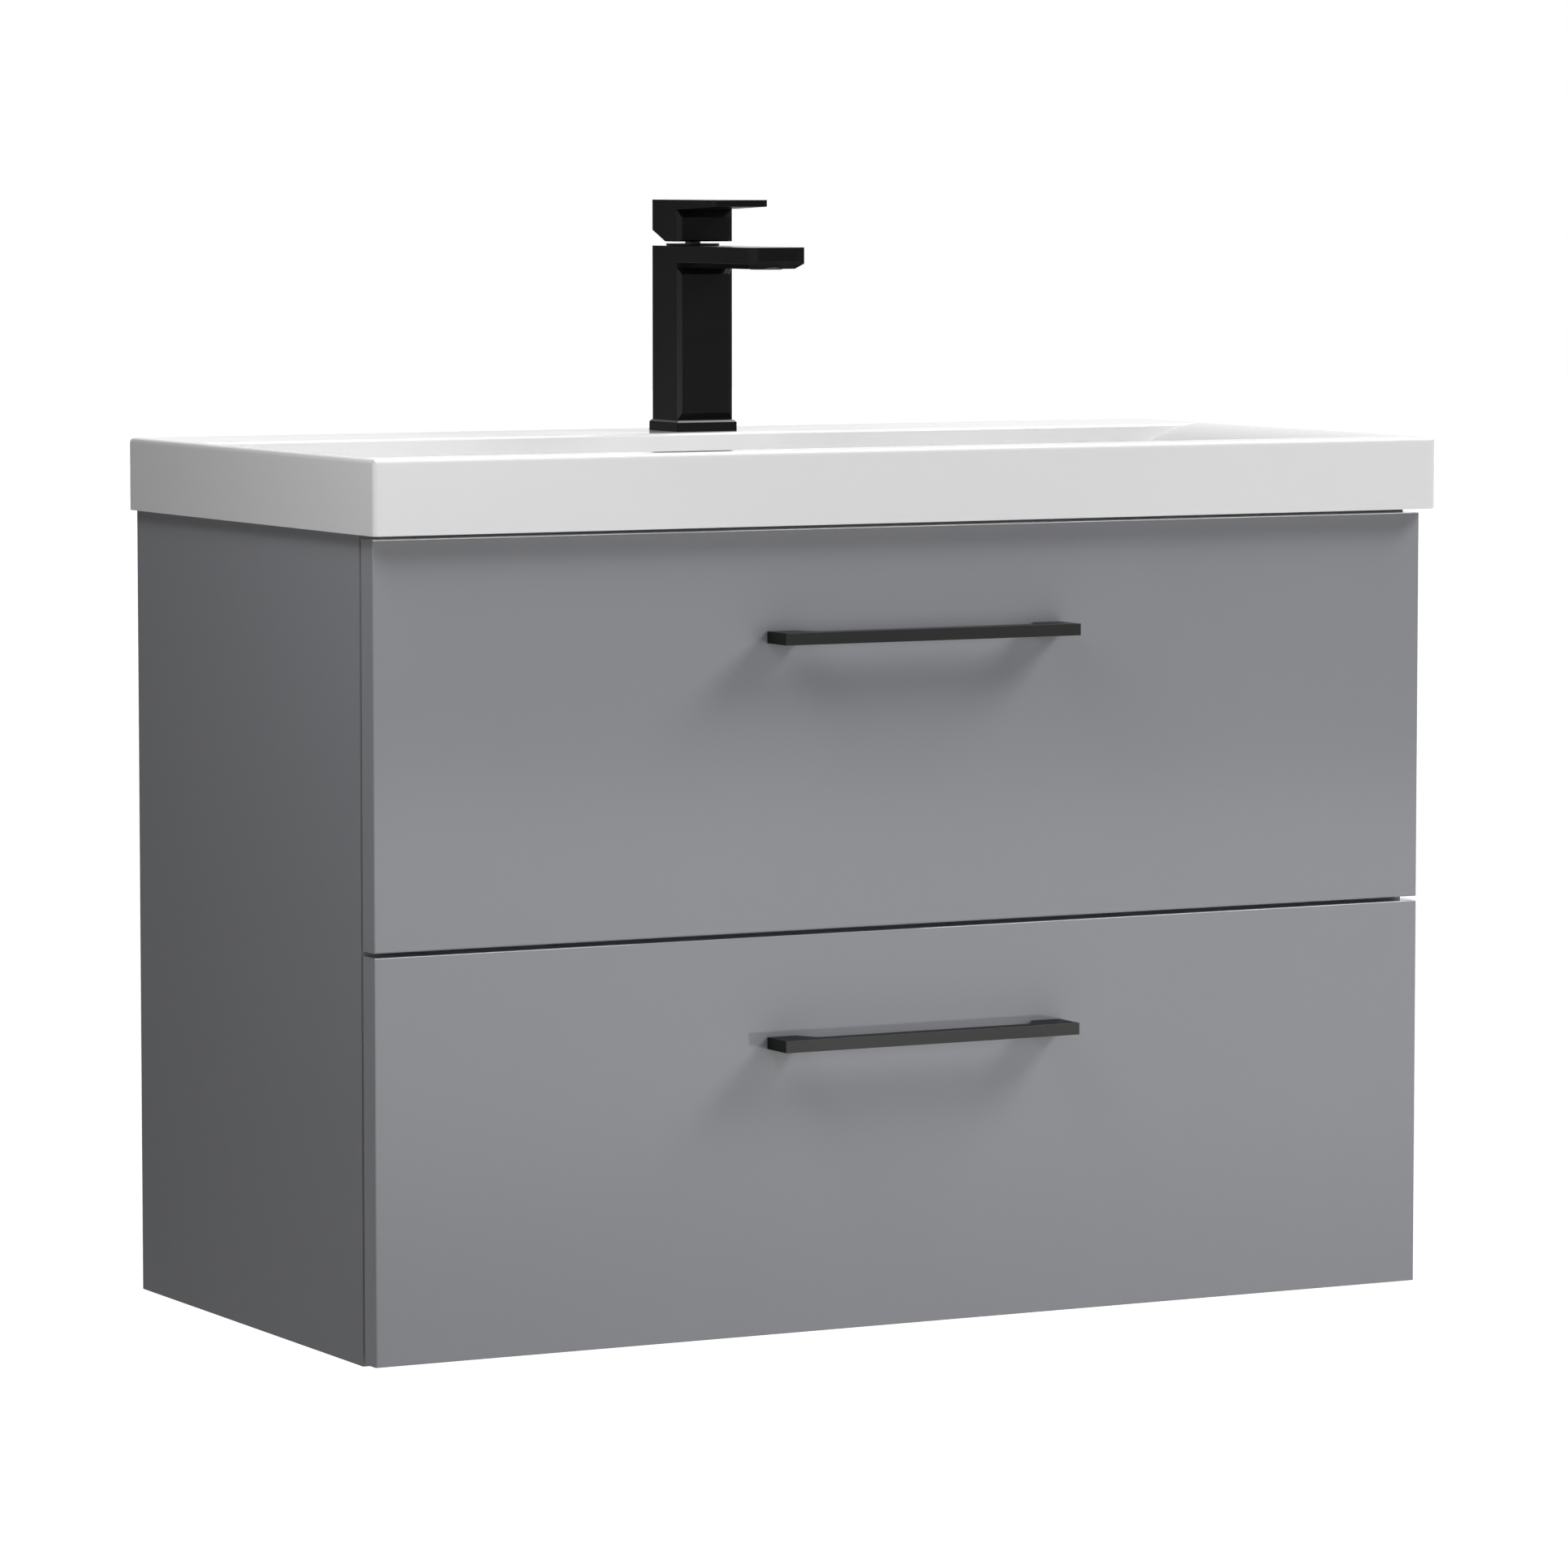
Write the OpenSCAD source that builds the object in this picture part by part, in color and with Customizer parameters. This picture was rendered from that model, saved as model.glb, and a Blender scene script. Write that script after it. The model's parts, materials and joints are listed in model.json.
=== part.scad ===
// Wall-hung bathroom vanity: a two-drawer cabinet, a ceramic basin, a mixer tap and a basin waste.
// The wall is the plane y = 0 and the room lies at negative y. x = 0 is the centre line and
// z = 0 is the underside of the cabinet, so a depth d from the wall is the place y = -d.

/* [Basin] */
// How far the basin stands out past each side of the cabinet
basin_overhang = 5; // [2:0.5:10]
// Depth of the basin from the wall to its front face
basin_d = 405; // [360:1:440]
// Height of the apron round the basin
apron_h = 50; // [46:1:60]
// Thickness of the ceramic
ceramic_t = 12; // [10:0.5:14]
// Radius along the top edge of the apron
apron_edge_r = 3.5; // [2:0.5:6]
// Radius of the apron's upright corners
apron_corner_r = 3; // [2:0.5:6]

/* [Bowl] */
// Flat rim in front of the bowl
front_rim = 23.5; // [18:0.5:26]
// Depth of the tap ledge behind the bowl
tap_ledge = 99.5; // [96:0.5:106]
// Flat rim at each end of the bowl
end_rim = 3.5; // [3:0.5:8]
// Depth of the bowl below the rim
bowl_depth = 90; // [80:1:100]
// Fall of the bowl's floor towards the waste
floor_fall = 3; // [1:0.5:5]
// Radius of the long shoulder at each end of the bowl
end_shoulder_r = 110; // [90:1:130]
// Slope of the bowl's ends, from the horizontal
end_slope = 35; // [30:1:45]
// Radius of the shoulder along the bowl's front and back
edge_shoulder_r = 2.6; // [1.5:0.1:4]
// Slope of the bowl's front wall, from the horizontal
front_slope = 51; // [48:1:53]
// Slope of the bowl's back wall, from the horizontal
back_slope = 84; // [80:1:86]
// Radius where the walls of the bowl meet its floor
foot_r = 30; // [20:1:40]
// Distance of the waste from the wall
waste_from_wall = 205; // [195:1:215]

/* [Cabinet] */
// Width of the cabinet
cabinet_w = 800; // [700:1:900]
// Height of the cabinet
cabinet_h = 545; // [530:1:600]
// Thickness of the cabinet's boards
board_t = 15; // [15:0.5:18]
// Thickness of a drawer front
front_t = 18; // [16:0.5:22]
// Distance of the drawer fronts behind the basin's front face
front_setback = 13; // [10:0.5:20]
// Gap between a drawer front and the cabinet's front edges
front_gap = 3; // [2:0.5:4]
// Gap above the upper drawer front
top_reveal = 3; // [3:0.5:6]
// Gap between the two drawer fronts
middle_reveal = 3; // [3:0.5:6]
// Step from the cabinet's underside up to the lower drawer front
bottom_reveal = 2; // [0:0.5:4]
// Height of the rail behind the top of the upper drawer front
front_rail_h = 60; // [40:1:70]
// Height of the rail that carries the hangers
hanger_rail_h = 95; // [92:1:100]
// Gap between the hanger rail and the wall
hanger_rail_gap = 18; // [18:0.5:24]
// Height of the rail along the bottom of the back
lower_rail_h = 80; // [60:1:120]

/* [Drawers] */
// Thickness of the drawer box boards
box_t = 12; // [12:0.5:15]
// Thickness of the drawer bases
base_t = 8; // [6:0.5:10]
// Room behind the drawer boxes for the pipes
back_void = 44; // [40:1:60]
// Distance from the top of the upper drawer front down to the top of its box
upper_box_drop = 112; // [108:1:130]
// Height of the lower drawer box above the middle of its handle, whose screws hold the box
lower_box_over_handle = 16; // [10:0.5:20]
// Height of the upper box above the bottom of its drawer front
upper_box_rise = 16.5; // [14:0.5:20]
// Height of the lower box above the bottom of its drawer front
lower_box_rise = 28; // [20:0.5:36]
// Height of the groove that holds the base, above the bottom of the box
groove_rise = 10; // [8:0.5:14]
// Depth of the groove that holds the base
groove_depth = 6; // [4:0.5:8]
// Width of the cut-out round the waste in the upper drawer
cutout_w = 200; // [160:1:260]
// Depth of the cut-out in front of the waste
cutout_reach = 70; // [60:1:90]
// How far each drawer opens
drawer_travel = 300; // [250:1:305]

/* [Runners] */
// Height of each runner
runner_h = 45; // [44:0.5:46]
// Room between the cabinet side and the drawer box
runner_w = 12.7; // [12.7:0.1:13.2]
// Thickness of the runner's steel
runner_steel = 1.2; // [1:0.1:1.4]
// Diameter of the bearing balls
ball_d = 3.3; // [3:0.1:3.4]
// Distance from one bearing ball to the next
ball_pitch = 16; // [12:1:24]
// Height of the runner's centre above the bottom of the box
runner_rise = 45; // [40:1:60]

/* [Handles] */
// Length of a handle
handle_l = 225; // [160:1:320]
// Height of a handle
handle_h = 8; // [7:0.5:12]
// How far a handle stands off the drawer front
handle_out = 27; // [24:0.5:35]
// Thickness of the handle's bar, front to back
handle_bar = 12; // [9:0.5:14]
// Width of each foot where it meets the drawer front
handle_foot = 22; // [18:0.5:30]
// How far the inner side of each foot slants
handle_slant = 8; // [0:0.5:12]
// Height of a handle's centre below the top of its drawer front
handle_drop = 71.5; // [40:0.5:90]

/* [Tap] */
// Distance of the tap from the wall
tap_from_wall = 63.5; // [60:0.5:66]
// Width of the tap
tap_w = 44; // [42:0.5:46]
// Depth of the tap's column
tap_d = 40; // [39:0.5:42]
// Height of the base plate
tap_base_h = 8; // [5:0.5:10]
// How far the base plate stands out round the column
tap_base_step = 1.8; // [1:0.1:3]
// Height of the column above the ledge
tap_h = 131; // [120:1:150]
// Thickness of the spout
spout_t = 15; // [13:0.5:18]
// How far the spout reaches from the middle of the column
spout_reach = 130; // [120:1:150]
// Height of the lever's block
lever_block_h = 23; // [21:0.5:26]
// Thickness of the lever's blade at its tip
lever_tip_t = 4.7; // [4:0.1:6]
// Thickness of the lever's blade at its root
lever_root_t = 6.5; // [5:0.1:8]
// How far the lever reaches from the middle of the column
lever_reach = 73.5; // [60:0.5:90]
// Gap between the column and the lever
lever_gap = 3; // [3:0.1:4]
// How far the lever lifts, in degrees
lever_lift = 18; // [10:1:18]

/* [Waste] */
// Outside diameter of the waste's threaded tail
tail_d = 41.9; // [41.5:0.1:42]
// Length of the waste from its flange to the end of its tail
waste_l = 100; // [95:1:110]
// Diameter of the flange
flange_d = 66; // [62:1:70]
// How far the plug rises when it is open
plug_travel = 8; // [5:0.5:9]

/* [Wall fixing] */
// Distance of the wall screws from the inner face of the cabinet's side
wall_screw_in = 35; // [30:1:60]
// Distance between the two rows of wall screws
wall_screw_rise = 32; // [25:1:34]
// Diameter of the wall screw holes
wall_screw_d = 7; // [5:0.5:8]

/* [Hidden] */
$fn = 48;

// Clearances: between parts that slide past each other, and round a pin or dowel in its hole
slide_gap = 0.3;
pin_gap = 0.05;
groove_slack = 0.5;
ball_gap = 0.075;
drawer_clearance = 7;
// Overshoot of a cut past the face it opens
cut = 1;

// Heights
rim_z = cabinet_h + apron_h;
floor_z = rim_z - bowl_depth;
front_h = (cabinet_h - top_reveal - middle_reveal - bottom_reveal) / 2;
lower_front_z = bottom_reveal;
upper_front_z = lower_front_z + front_h + middle_reveal;
upper_box_z = upper_front_z + upper_box_rise;
upper_box_h = front_h - upper_box_rise - upper_box_drop;
lower_box_z = lower_front_z + lower_box_rise;
lower_box_h = front_h - lower_box_rise - handle_drop + lower_box_over_handle;

// Depths
front_y = -(basin_d - front_setback);
front_back_y = front_y + front_t;
carcass_d = basin_d - front_setback - front_t - front_gap;
box_back_y = -back_void;
cutout_y = -(waste_from_wall + cutout_reach);
// Clear ends of the runners, behind the cabinet's front edge and before the back of the boxes
runner_setback = 2;
runner_end_gap = 5;
runner_y = -carcass_d + runner_setback;
runner_len = box_back_y - runner_end_gap - runner_y;

// Widths
basin_w = cabinet_w + 2 * basin_overhang;
inner_w = cabinet_w - 2 * board_t;
box_w = inner_w - 2 * runner_w;
box_inner_w = box_w - 2 * box_t;

// Fastenings
front_rail_t = 12;
dowel_d = 8;
dowel_l = 30;
dowel_in_side = 10;
handle_screw_in = 16.5;
screw_d = 4;
screw_head_d = 8;
screw_head_t = 2.4;

// ---- General forms ----

// A block between two places on each axis
module block(x, y, z)
    translate([x[0], y[0], z[0]]) cube([x[1] - x[0], y[1] - y[0], z[1] - z[0]]);

// An [y, z] outline drawn out along x
module along_x(w) rotate([90, 0, 90]) linear_extrude(w, center = true) children();

// An [x, z] outline drawn out along y
module along_y(l) rotate([90, 0, 0]) linear_extrude(l, center = true) children();

// A rod along y from y0 to y1
module rod_y(r, y0, y1) translate([0, y0, 0]) rotate([-90, 0, 0]) cylinder(r = r, h = y1 - y0);

// A piece and its mirror image on the other side of the centre line
module both_sides() {
    children();
    mirror([1, 0, 0]) children();
}

// Points on an arc round c from angle a0 to angle a1
function arc(c, r, a0, a1, n = 6) =
    [for (i = [0:n]) c + r * [cos(a0 + (a1 - a0) * i / n), sin(a0 + (a1 - a0) * i / n)]];

function reversed(list) = [for (i = [len(list) - 1:-1:0]) list[i]];

// ---- Basin ----

// Section of one wall of the bowl, from the rim at [0, 0] down to the floor, with the bowl at
// negative x. A rounded shoulder runs into a straight slope and a curved foot. t is the distance
// outside the bowl's own surface, so t = 0 is the inside and t = ceramic_t the outside.
function bowl_wall(shoulder_r, slope, depth, t) =
    let (
        n = [-sin(slope), cos(slope)],
        d = [-cos(slope), -sin(slope)],
        shoulder = [0, -shoulder_r],
        top = shoulder + n * shoulder_r,
        run = (top.y + foot_r * cos(slope) + depth - foot_r) / sin(slope),
        foot = top + n * foot_r + d * run,
        outer_top = top - n * t,
        rise = (outer_top.y + t / 2) / sin(slope)
    )
    concat(
        t == 0 ? [[0, cut]] : shoulder_r > t ? [[0, -t / 2]] : [outer_top + d * rise],
        shoulder_r > t ? arc(shoulder, shoulder_r - t, 90, 90 + slope, 10) : [],
        arc(foot, foot_r + t, slope - 90, -90, 8)
    );

// The space of the bowl, grown outwards by t
module bowl_form(t = 0) {
    end = [for (p = bowl_wall(end_shoulder_r, end_slope, bowl_depth - floor_fall, t))
        [basin_w / 2 - end_rim + p.x, p.y]];
    front = [for (p = bowl_wall(edge_shoulder_r, front_slope, bowl_depth, t))
        [-(basin_d - front_rim) - p.x, p.y]];
    back = [for (p = bowl_wall(edge_shoulder_r, back_slope, bowl_depth, t))
        [-tap_ledge + p.x, p.y]];
    translate([0, 0, rim_z]) intersection() {
        along_y(2 * basin_d)
            polygon(concat(end, [[0, -bowl_depth - t]], reversed([for (p = end) [-p.x, p.y]])));
        along_x(basin_w) polygon(concat(front, reversed(back)));
    }
}

// The slab of the basin with its rounded top edge and upright corners
module basin_slab() {
    half = basin_w / 2;
    r = apron_edge_r;
    c = apron_corner_r;
    intersection() {
        along_y(3 * basin_d) polygon(concat(
            [[-half, cabinet_h], [half, cabinet_h]],
            arc([half - r, rim_z - r], r, 0, 90),
            arc([-half + r, rim_z - r], r, 90, 180)
        ));
        along_x(2 * basin_w) polygon(concat(
            [[0, rim_z], [0, cabinet_h], [-basin_d, cabinet_h]],
            reversed(arc([-basin_d + r, rim_z - r], r, 90, 180))
        ));
        translate([0, 0, cabinet_h - cut]) linear_extrude(apron_h + 2 * cut) polygon(concat(
            [[half, 0], [-half, 0]],
            arc([-half + c, -basin_d + c], c, 180, 270),
            arc([half - c, -basin_d + c], c, 270, 360)
        ));
    }
}

waste_y = -waste_from_wall;
tap_y = -tap_from_wall;
waste_boss_h = 35;
waste_hole_r = tail_d / 2 + 2;
overflow_drop = 40;
overflow_r = 9;
overflow_lip = 3;
overflow_lip_t = 2;
overflow_ring_t = 1.5;
duct_w = 30;
duct_d = 8;
duct_depth = 24;
duct_wall = 8;
duct_roof = 3;
tap_hole_r = 17.5;
flange_t = 3;
bowl_bottom_z = floor_z - waste_boss_h;
overflow_wall_t = duct_wall;
duct_floor_z = bowl_bottom_z + duct_wall;
duct_top_z = rim_z - overflow_drop + overflow_r + 6;

// Where the bowl's back wall is, at a depth below the rim
function back_wall_y(depth) =
    let (
        top = edge_shoulder_r * [-sin(back_slope), cos(back_slope) - 1],
        run = (depth + top.y) / sin(back_slope)
    )
    -tap_ledge + top.x - run * cos(back_slope);

overflow_wall_y = back_wall_y(overflow_drop);

// Square to the bowl's back wall, at the overflow hole
module at_overflow() translate([0, overflow_wall_y, rim_z - overflow_drop])
    rotate([back_slope - 90, 0, 0]) children();

// The cored passage that leads from the overflow hole down behind the bowl and under its floor
module overflow_duct(wall) {
    half = duct_w / 2 + wall;
    back = overflow_wall_y + overflow_wall_t + duct_d + wall;
    low = duct_floor_z - wall;
    block([-half, half], [back - duct_depth - 2 * wall, back], [low, duct_top_z + wall]);
    block([-half, half], [waste_y, back], [low, floor_z - ceramic_t - duct_roof + wall]);
}

module basin() color("white") difference() {
    union() {
        difference() {
            basin_slab();
            difference() {
                block(
                    [-basin_w / 2 + ceramic_t, basin_w / 2 - ceramic_t],
                    [-basin_d + ceramic_t, -ceramic_t],
                    [cabinet_h - cut, rim_z - ceramic_t]
                );
                bowl_form(ceramic_t);
            }
        }
        bowl_form(ceramic_t);
        translate([0, waste_y, bowl_bottom_z]) cylinder(r = waste_hole_r + 10, h = waste_boss_h);
        overflow_duct(duct_wall);
    }
    difference() {
        overflow_duct(0);
        bowl_form(duct_wall);
    }
    bowl_form();
    translate([0, tap_y, rim_z - 2 * ceramic_t]) cylinder(r = tap_hole_r, h = 3 * ceramic_t);
    translate([0, waste_y, bowl_bottom_z - cut]) cylinder(r = waste_hole_r, h = waste_boss_h + 2 * cut);
    translate([0, waste_y, floor_z - flange_t]) cylinder(r = flange_d / 2 + 1, h = flange_t + 2);
    at_overflow() rod_y(overflow_r, -overflow_lip_t, overflow_wall_t + duct_d / 2);
}

// Chrome trim ring pressed into the overflow hole, with its lip on the bowl's wall
module overflow_ring() color("silver") at_overflow() difference() {
    union() {
        rod_y(overflow_r - pin_gap, -cut, overflow_wall_t - 1);
        rod_y(overflow_r + overflow_lip, -overflow_lip_t, 0);
    }
    rod_y(overflow_r - overflow_ring_t, -overflow_lip_t - cut, overflow_wall_t);
}

// ---- Waste ----

flange_z = floor_z - flange_t;
tail_r = tail_d / 2;
shank_r = tail_r + 0.55;
plug_stem_r = 4;
waste_seal_t = 4;
waste_nut_t = 11;
waste_nut_z = bowl_bottom_z - waste_seal_t - waste_nut_t;
tail_wall = 2.5;
spider_h = 10;
guide_drop = 30;
guide_z = flange_z - guide_drop;
guide_h = 14;
guide_wall = 3;
// Slots through the tube that let the overflow's water in
slot_w = 10;
slot_h = 14;
slot_rise = 4;

// Flanged waste with a slotted tube, a spider that guides the plug's stem, and a plain tail
module waste_body() color("silver") translate([0, waste_y, 0]) difference() {
    union() {
        translate([0, 0, flange_z]) cylinder(r = flange_d / 2, h = flange_t);
        translate([0, 0, floor_z - waste_l]) cylinder(r = tail_r, h = waste_l - flange_t / 2);
        translate([0, 0, waste_nut_z]) cylinder(r = shank_r, h = flange_z - waste_nut_z + cut);
    }
    difference() {
        translate([0, 0, floor_z - waste_l - cut]) cylinder(r = tail_r - tail_wall, h = waste_l + 2 * cut);
        translate([0, 0, guide_z]) {
            cylinder(r = plug_stem_r + guide_wall, h = guide_h);
            for (a = [0, 90]) rotate(a)
                translate([-tail_r, -guide_wall / 2, 0]) cube([tail_d, guide_wall, spider_h]);
        }
    }
    translate([0, 0, guide_z - cut]) cylinder(r = plug_stem_r + pin_gap, h = guide_h + 2 * cut);
    for (a = [45, 225]) rotate(a)
        translate([0, -slot_w / 2, guide_z + slot_rise]) cube([tail_r + cut, slot_w, slot_h]);
}

module waste_ring(z, h, r) translate([0, waste_y, z]) difference() {
    cylinder(r = r, h = h);
    translate([0, 0, -cut]) cylinder(r = shank_r + pin_gap, h = h + 2 * cut);
}

module waste_seal() color("dimgray") waste_ring(bowl_bottom_z - waste_seal_t, waste_seal_t, waste_hole_r + 8);

nut_r = waste_hole_r + 7;
nut_flute_r = 4;
nut_rim_t = 4;

// Round nut with flutes for the fingers below its plain rim
module waste_nut() color("gray") difference() {
    waste_ring(waste_nut_z, waste_nut_t, nut_r);
    translate([0, waste_y, waste_nut_z - cut]) for (a = [0:45:315]) rotate(a)
        translate([nut_r + 1.5, 0, 0]) cylinder(r = nut_flute_r, h = waste_nut_t - nut_rim_t + cut);
}

plug_r = flange_d / 2 - 2;
plug_edge_h = 3;
plug_dome_h = 4;
plug_dome_r = (plug_r * plug_r + plug_dome_h * plug_dome_h) / (2 * plug_dome_h);
plug_z = floor_z + slide_gap;
// The stem still fills its guide when the plug is raised
plug_stem_z = guide_z - plug_travel;

// Domed push plug and its stem
module waste_plug() color("silver") translate([0, waste_y, 0]) {
    centre = plug_edge_h + plug_dome_h - plug_dome_r;
    translate([0, 0, plug_z]) rotate_extrude() polygon(concat(
        [[0, 0], [plug_r, 0], [plug_r, plug_edge_h]],
        [for (i = [5:-1:0]) let (x = plug_r * i / 6) [x, centre + sqrt(plug_dome_r * plug_dome_r - x * x)]]
    ));
    translate([0, 0, plug_stem_z]) cylinder(r = plug_stem_r, h = plug_z - plug_stem_z + cut);
}

// ---- Cabinet ----

front_rail_z = cabinet_h - front_rail_h;
// The middle rail fills the room between the drawer boxes
middle_rail_z = lower_box_z + lower_box_h + drawer_clearance;
middle_rail_h = upper_box_z - drawer_clearance - middle_rail_z;
hanger_rail_z = cabinet_h - hanger_rail_h;
hanger_rail_y = -hanger_rail_gap - board_t;
dowel_y = [-carcass_d * 0.16, -carcass_d * 0.5, -carcass_d * 0.84];
dowel_points = concat(
    [for (y = dowel_y) [y, board_t / 2]],
    [for (i = [0.25, 0.75]) [-carcass_d + front_rail_t / 2, front_rail_z + front_rail_h * i]],
    [for (i = [0.25, 0.75]) [-carcass_d + front_rail_t / 2, middle_rail_z + middle_rail_h * i]],
    [for (i = [0.15, 0.45]) [hanger_rail_y + board_t / 2, hanger_rail_z + hanger_rail_h * i]],
    [for (i = [0.25, 0.75]) [-board_t / 2, board_t + lower_rail_h * i]]
);

module dowels(r, slack = 0) both_sides() for (p = dowel_points)
    translate([inner_w / 2 + dowel_in_side - dowel_l - slack, p.x, p.y])
        rotate([0, 90, 0]) cylinder(r = r, h = dowel_l + 2 * slack);

module dowel_holes() dowels(dowel_d / 2 + pin_gap, pin_gap);

module carcass_dowels() color("burlywood") dowels(dowel_d / 2);

module side_panel() color("dimgray") difference() {
    block([inner_w / 2, cabinet_w / 2], [-carcass_d, 0], [0, cabinet_h]);
    dowel_holes();
}

module side_panel_left() mirror([1, 0, 0]) side_panel();

module side_panel_right() side_panel();

module bottom_panel() color("dimgray") difference() {
    block([-inner_w / 2, inner_w / 2], [-carcass_d, 0], [0, board_t]);
    dowel_holes();
}

// A board between the sides, just behind the drawer fronts
module rail_behind_fronts(z, h) color("dimgray") difference() {
    block([-inner_w / 2, inner_w / 2], [-carcass_d, -carcass_d + front_rail_t], [z, z + h]);
    dowel_holes();
}

module front_rail() rail_behind_fronts(front_rail_z, front_rail_h);

module middle_rail() rail_behind_fronts(middle_rail_z, middle_rail_h);

// Rail behind the drawers, with a slot at each end for the arm of a hanger
module hanger_rail() color("dimgray") difference() {
    block([-inner_w / 2, inner_w / 2], [hanger_rail_y, hanger_rail_y + board_t], [hanger_rail_z, cabinet_h]);
    both_sides() block(
        [hanger_x - arm_w / 2 - arm_side_gap, hanger_x + arm_w / 2 + arm_side_gap],
        [hanger_rail_y - cut, hanger_rail_y + board_t + cut],
        [hook_z - hanger_play, hook_z + arm_t + hanger_play]
    );
    dowel_holes();
}

module lower_rail() color("dimgray") difference() {
    block([-inner_w / 2, inner_w / 2], [-board_t, 0], [board_t, board_t + lower_rail_h]);
    dowel_holes();
}

pad_r = 4;
pad_in = 30;

// Soft pads on the cabinet's front edges that the drawer fronts close against
module bumper_pads() color("lightgray") both_sides()
    for (z = [lower_front_z, upper_front_z], rise = [pad_in, front_h - pad_in])
        translate([cabinet_w / 2 - board_t / 2, 0, z + rise])
            rod_y(pad_r, -carcass_d - front_gap + slide_gap, -carcass_d);

// ---- Wall fixing ----

// A hanger's body, its arm, and the hook at the arm's end
hanger_w = 18;
hanger_l = 46;
hanger_below = 52;
hanger_above = 8;
hanger_play = 5;
hanger_x = inner_w / 2 - hanger_w / 2;
socket_r = 3.5;
socket_depth = 6;
socket_rise = [12, 38];
arm_w = 8;
arm_t = 3;
arm_side_gap = 2;
arm_end_gap = 2;
hook_rise = 74;
hook_slack = 0.5;
hook_z = hanger_rail_z + hook_rise;
// A wall plate and the raised lip along its top
plate_t = 2.5;
plate_h = 62;
plate_lip = 8;
plate_lip_h = 9.5;
plate_end = 22;
plate_side_gap = 1;
plate_z = hook_z - plate_h;
wall_screw_x = inner_w / 2 - wall_screw_in;
screws_above_foot = 25;
wall_screw_z = plate_z + screws_above_foot;

// Steel plates screwed to the wall, each with a raised lip along its top
module wall_plates() color("silver") both_sides() difference() {
    x = [wall_screw_x - plate_end, inner_w / 2 - plate_side_gap];
    bend_z = hook_z - plate_lip_h;
    translate([(x[0] + x[1]) / 2, 0, 0]) along_x(x[1] - x[0]) polygon([
        [0, plate_z], [0, bend_z], [-plate_lip + plate_t, bend_z],
        [-plate_lip + plate_t, hook_z], [-plate_lip, hook_z], [-plate_lip, bend_z - plate_t],
        [-plate_t, bend_z - plate_t], [-plate_t, plate_z]
    ]);
    for (side = [-0.5, 0.5])
        translate([wall_screw_x, 0, wall_screw_z + side * wall_screw_rise])
            rod_y(wall_screw_d / 2, -plate_t - cut, cut);
}

// Hangers inside the cabinet's upper corners, hooked over the lips of the wall plates
module cabinet_hangers() color("gainsboro") both_sides() {
    foot_z = hook_z - hanger_below;
    face_y = hanger_rail_y - hanger_l;
    nose_y = -plate_lip + plate_t + hook_slack;
    nose_z = hook_z - plate_lip_h + 2 * hook_slack;
    difference() {
        block(
            [inner_w / 2 - hanger_w, inner_w / 2],
            [face_y, hanger_rail_y],
            [foot_z, hook_z + hanger_above]
        );
        for (rise = socket_rise)
            translate([hanger_x, 0, foot_z + rise]) rod_y(socket_r, face_y - cut, face_y + socket_depth);
    }
    translate([hanger_x, 0, 0]) along_x(arm_w) polygon([
        [hanger_rail_y, hook_z + arm_t], [-arm_end_gap, hook_z + arm_t], [-arm_end_gap, nose_z],
        [nose_y, nose_z], [nose_y, hook_z], [hanger_rail_y, hook_z]
    ]);
}

// ---- Runners ----

// Heights of the three channels, which leave room for a row of balls above and below each
race = ball_d + 2 * ball_gap;
middle_h = runner_h - 2 * runner_steel - 2 * race;
drawer_member_h = middle_h - 2 * runner_steel - 2 * race;
// Distances of the channels' webs and edges from the cabinet's side
fixed_edge = runner_w - 2.9;
middle_web = 2 * runner_steel;
middle_edge = runner_w - 1.7;
drawer_edge = 5.2;

// A steel channel between two distances from the cabinet's side, open towards the higher one
module channel(u0, u1, h, flip = false) {
    translate([inner_w / 2, runner_y, 0]) rotate([-90, 0, 180]) translate([0, 0, -runner_len])
        linear_extrude(runner_len) difference() {
            translate([u0, -h / 2]) square([u1 - u0, h]);
            translate([flip ? u0 - cut : u0 + runner_steel, -h / 2 + runner_steel])
                square([u1 - u0 - runner_steel + cut, h - 2 * runner_steel]);
        }
}

// Rows of bearing balls above and below a channel of height h, held between u0 and u1 in strips.
// They run over part of the channel's length, from the place y0.
module ball_rows(u0, u1, h, y0) {
    strip_t = 0.8;
    strip_in = 1;
    half = (u1 - u0) / 2 - strip_in;
    count = floor(ball_row_l / ball_pitch);
    for (side = [-1, 1]) translate([inner_w / 2 - (u0 + u1) / 2, y0, side * (h + race) / 2]) {
        block([-half, half], [0, ball_row_l], [-strip_t / 2, strip_t / 2]);
        for (i = [0:count - 1]) translate([0, (i + 0.5) * ball_row_l / count, 0]) sphere(d = ball_d);
    }
}

// The balls stay between the channels at both ends of the travel, so a row is no longer than the
// length over which two channels still overlap when the drawer is open
ball_row_end = 4;
ball_row_l = runner_len - drawer_travel / 2 - 2 * ball_row_end;

module runner_fixed(z) color("silver") translate([0, 0, z + runner_rise]) channel(0, fixed_edge, runner_h);

// The middle channel, with the balls that it runs on at its rear end in the fixed channel, and
// the balls that the drawer's channel runs on at its front end
module runner_middle(z) color("darkgray") translate([0, 0, z + runner_rise]) {
    channel(middle_web, middle_edge, middle_h);
    ball_rows(middle_web, fixed_edge, middle_h, runner_y + runner_len - ball_row_end - ball_row_l);
    ball_rows(drawer_edge, middle_edge, drawer_member_h, runner_y + ball_row_end);
}

module runner_drawer(z) color("silver") translate([0, 0, z + runner_rise])
    channel(drawer_edge, runner_w, drawer_member_h, flip = true);

module upper_runner_right_fixed() runner_fixed(upper_box_z);

module upper_runner_left_fixed() mirror([1, 0, 0]) upper_runner_right_fixed();

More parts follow.
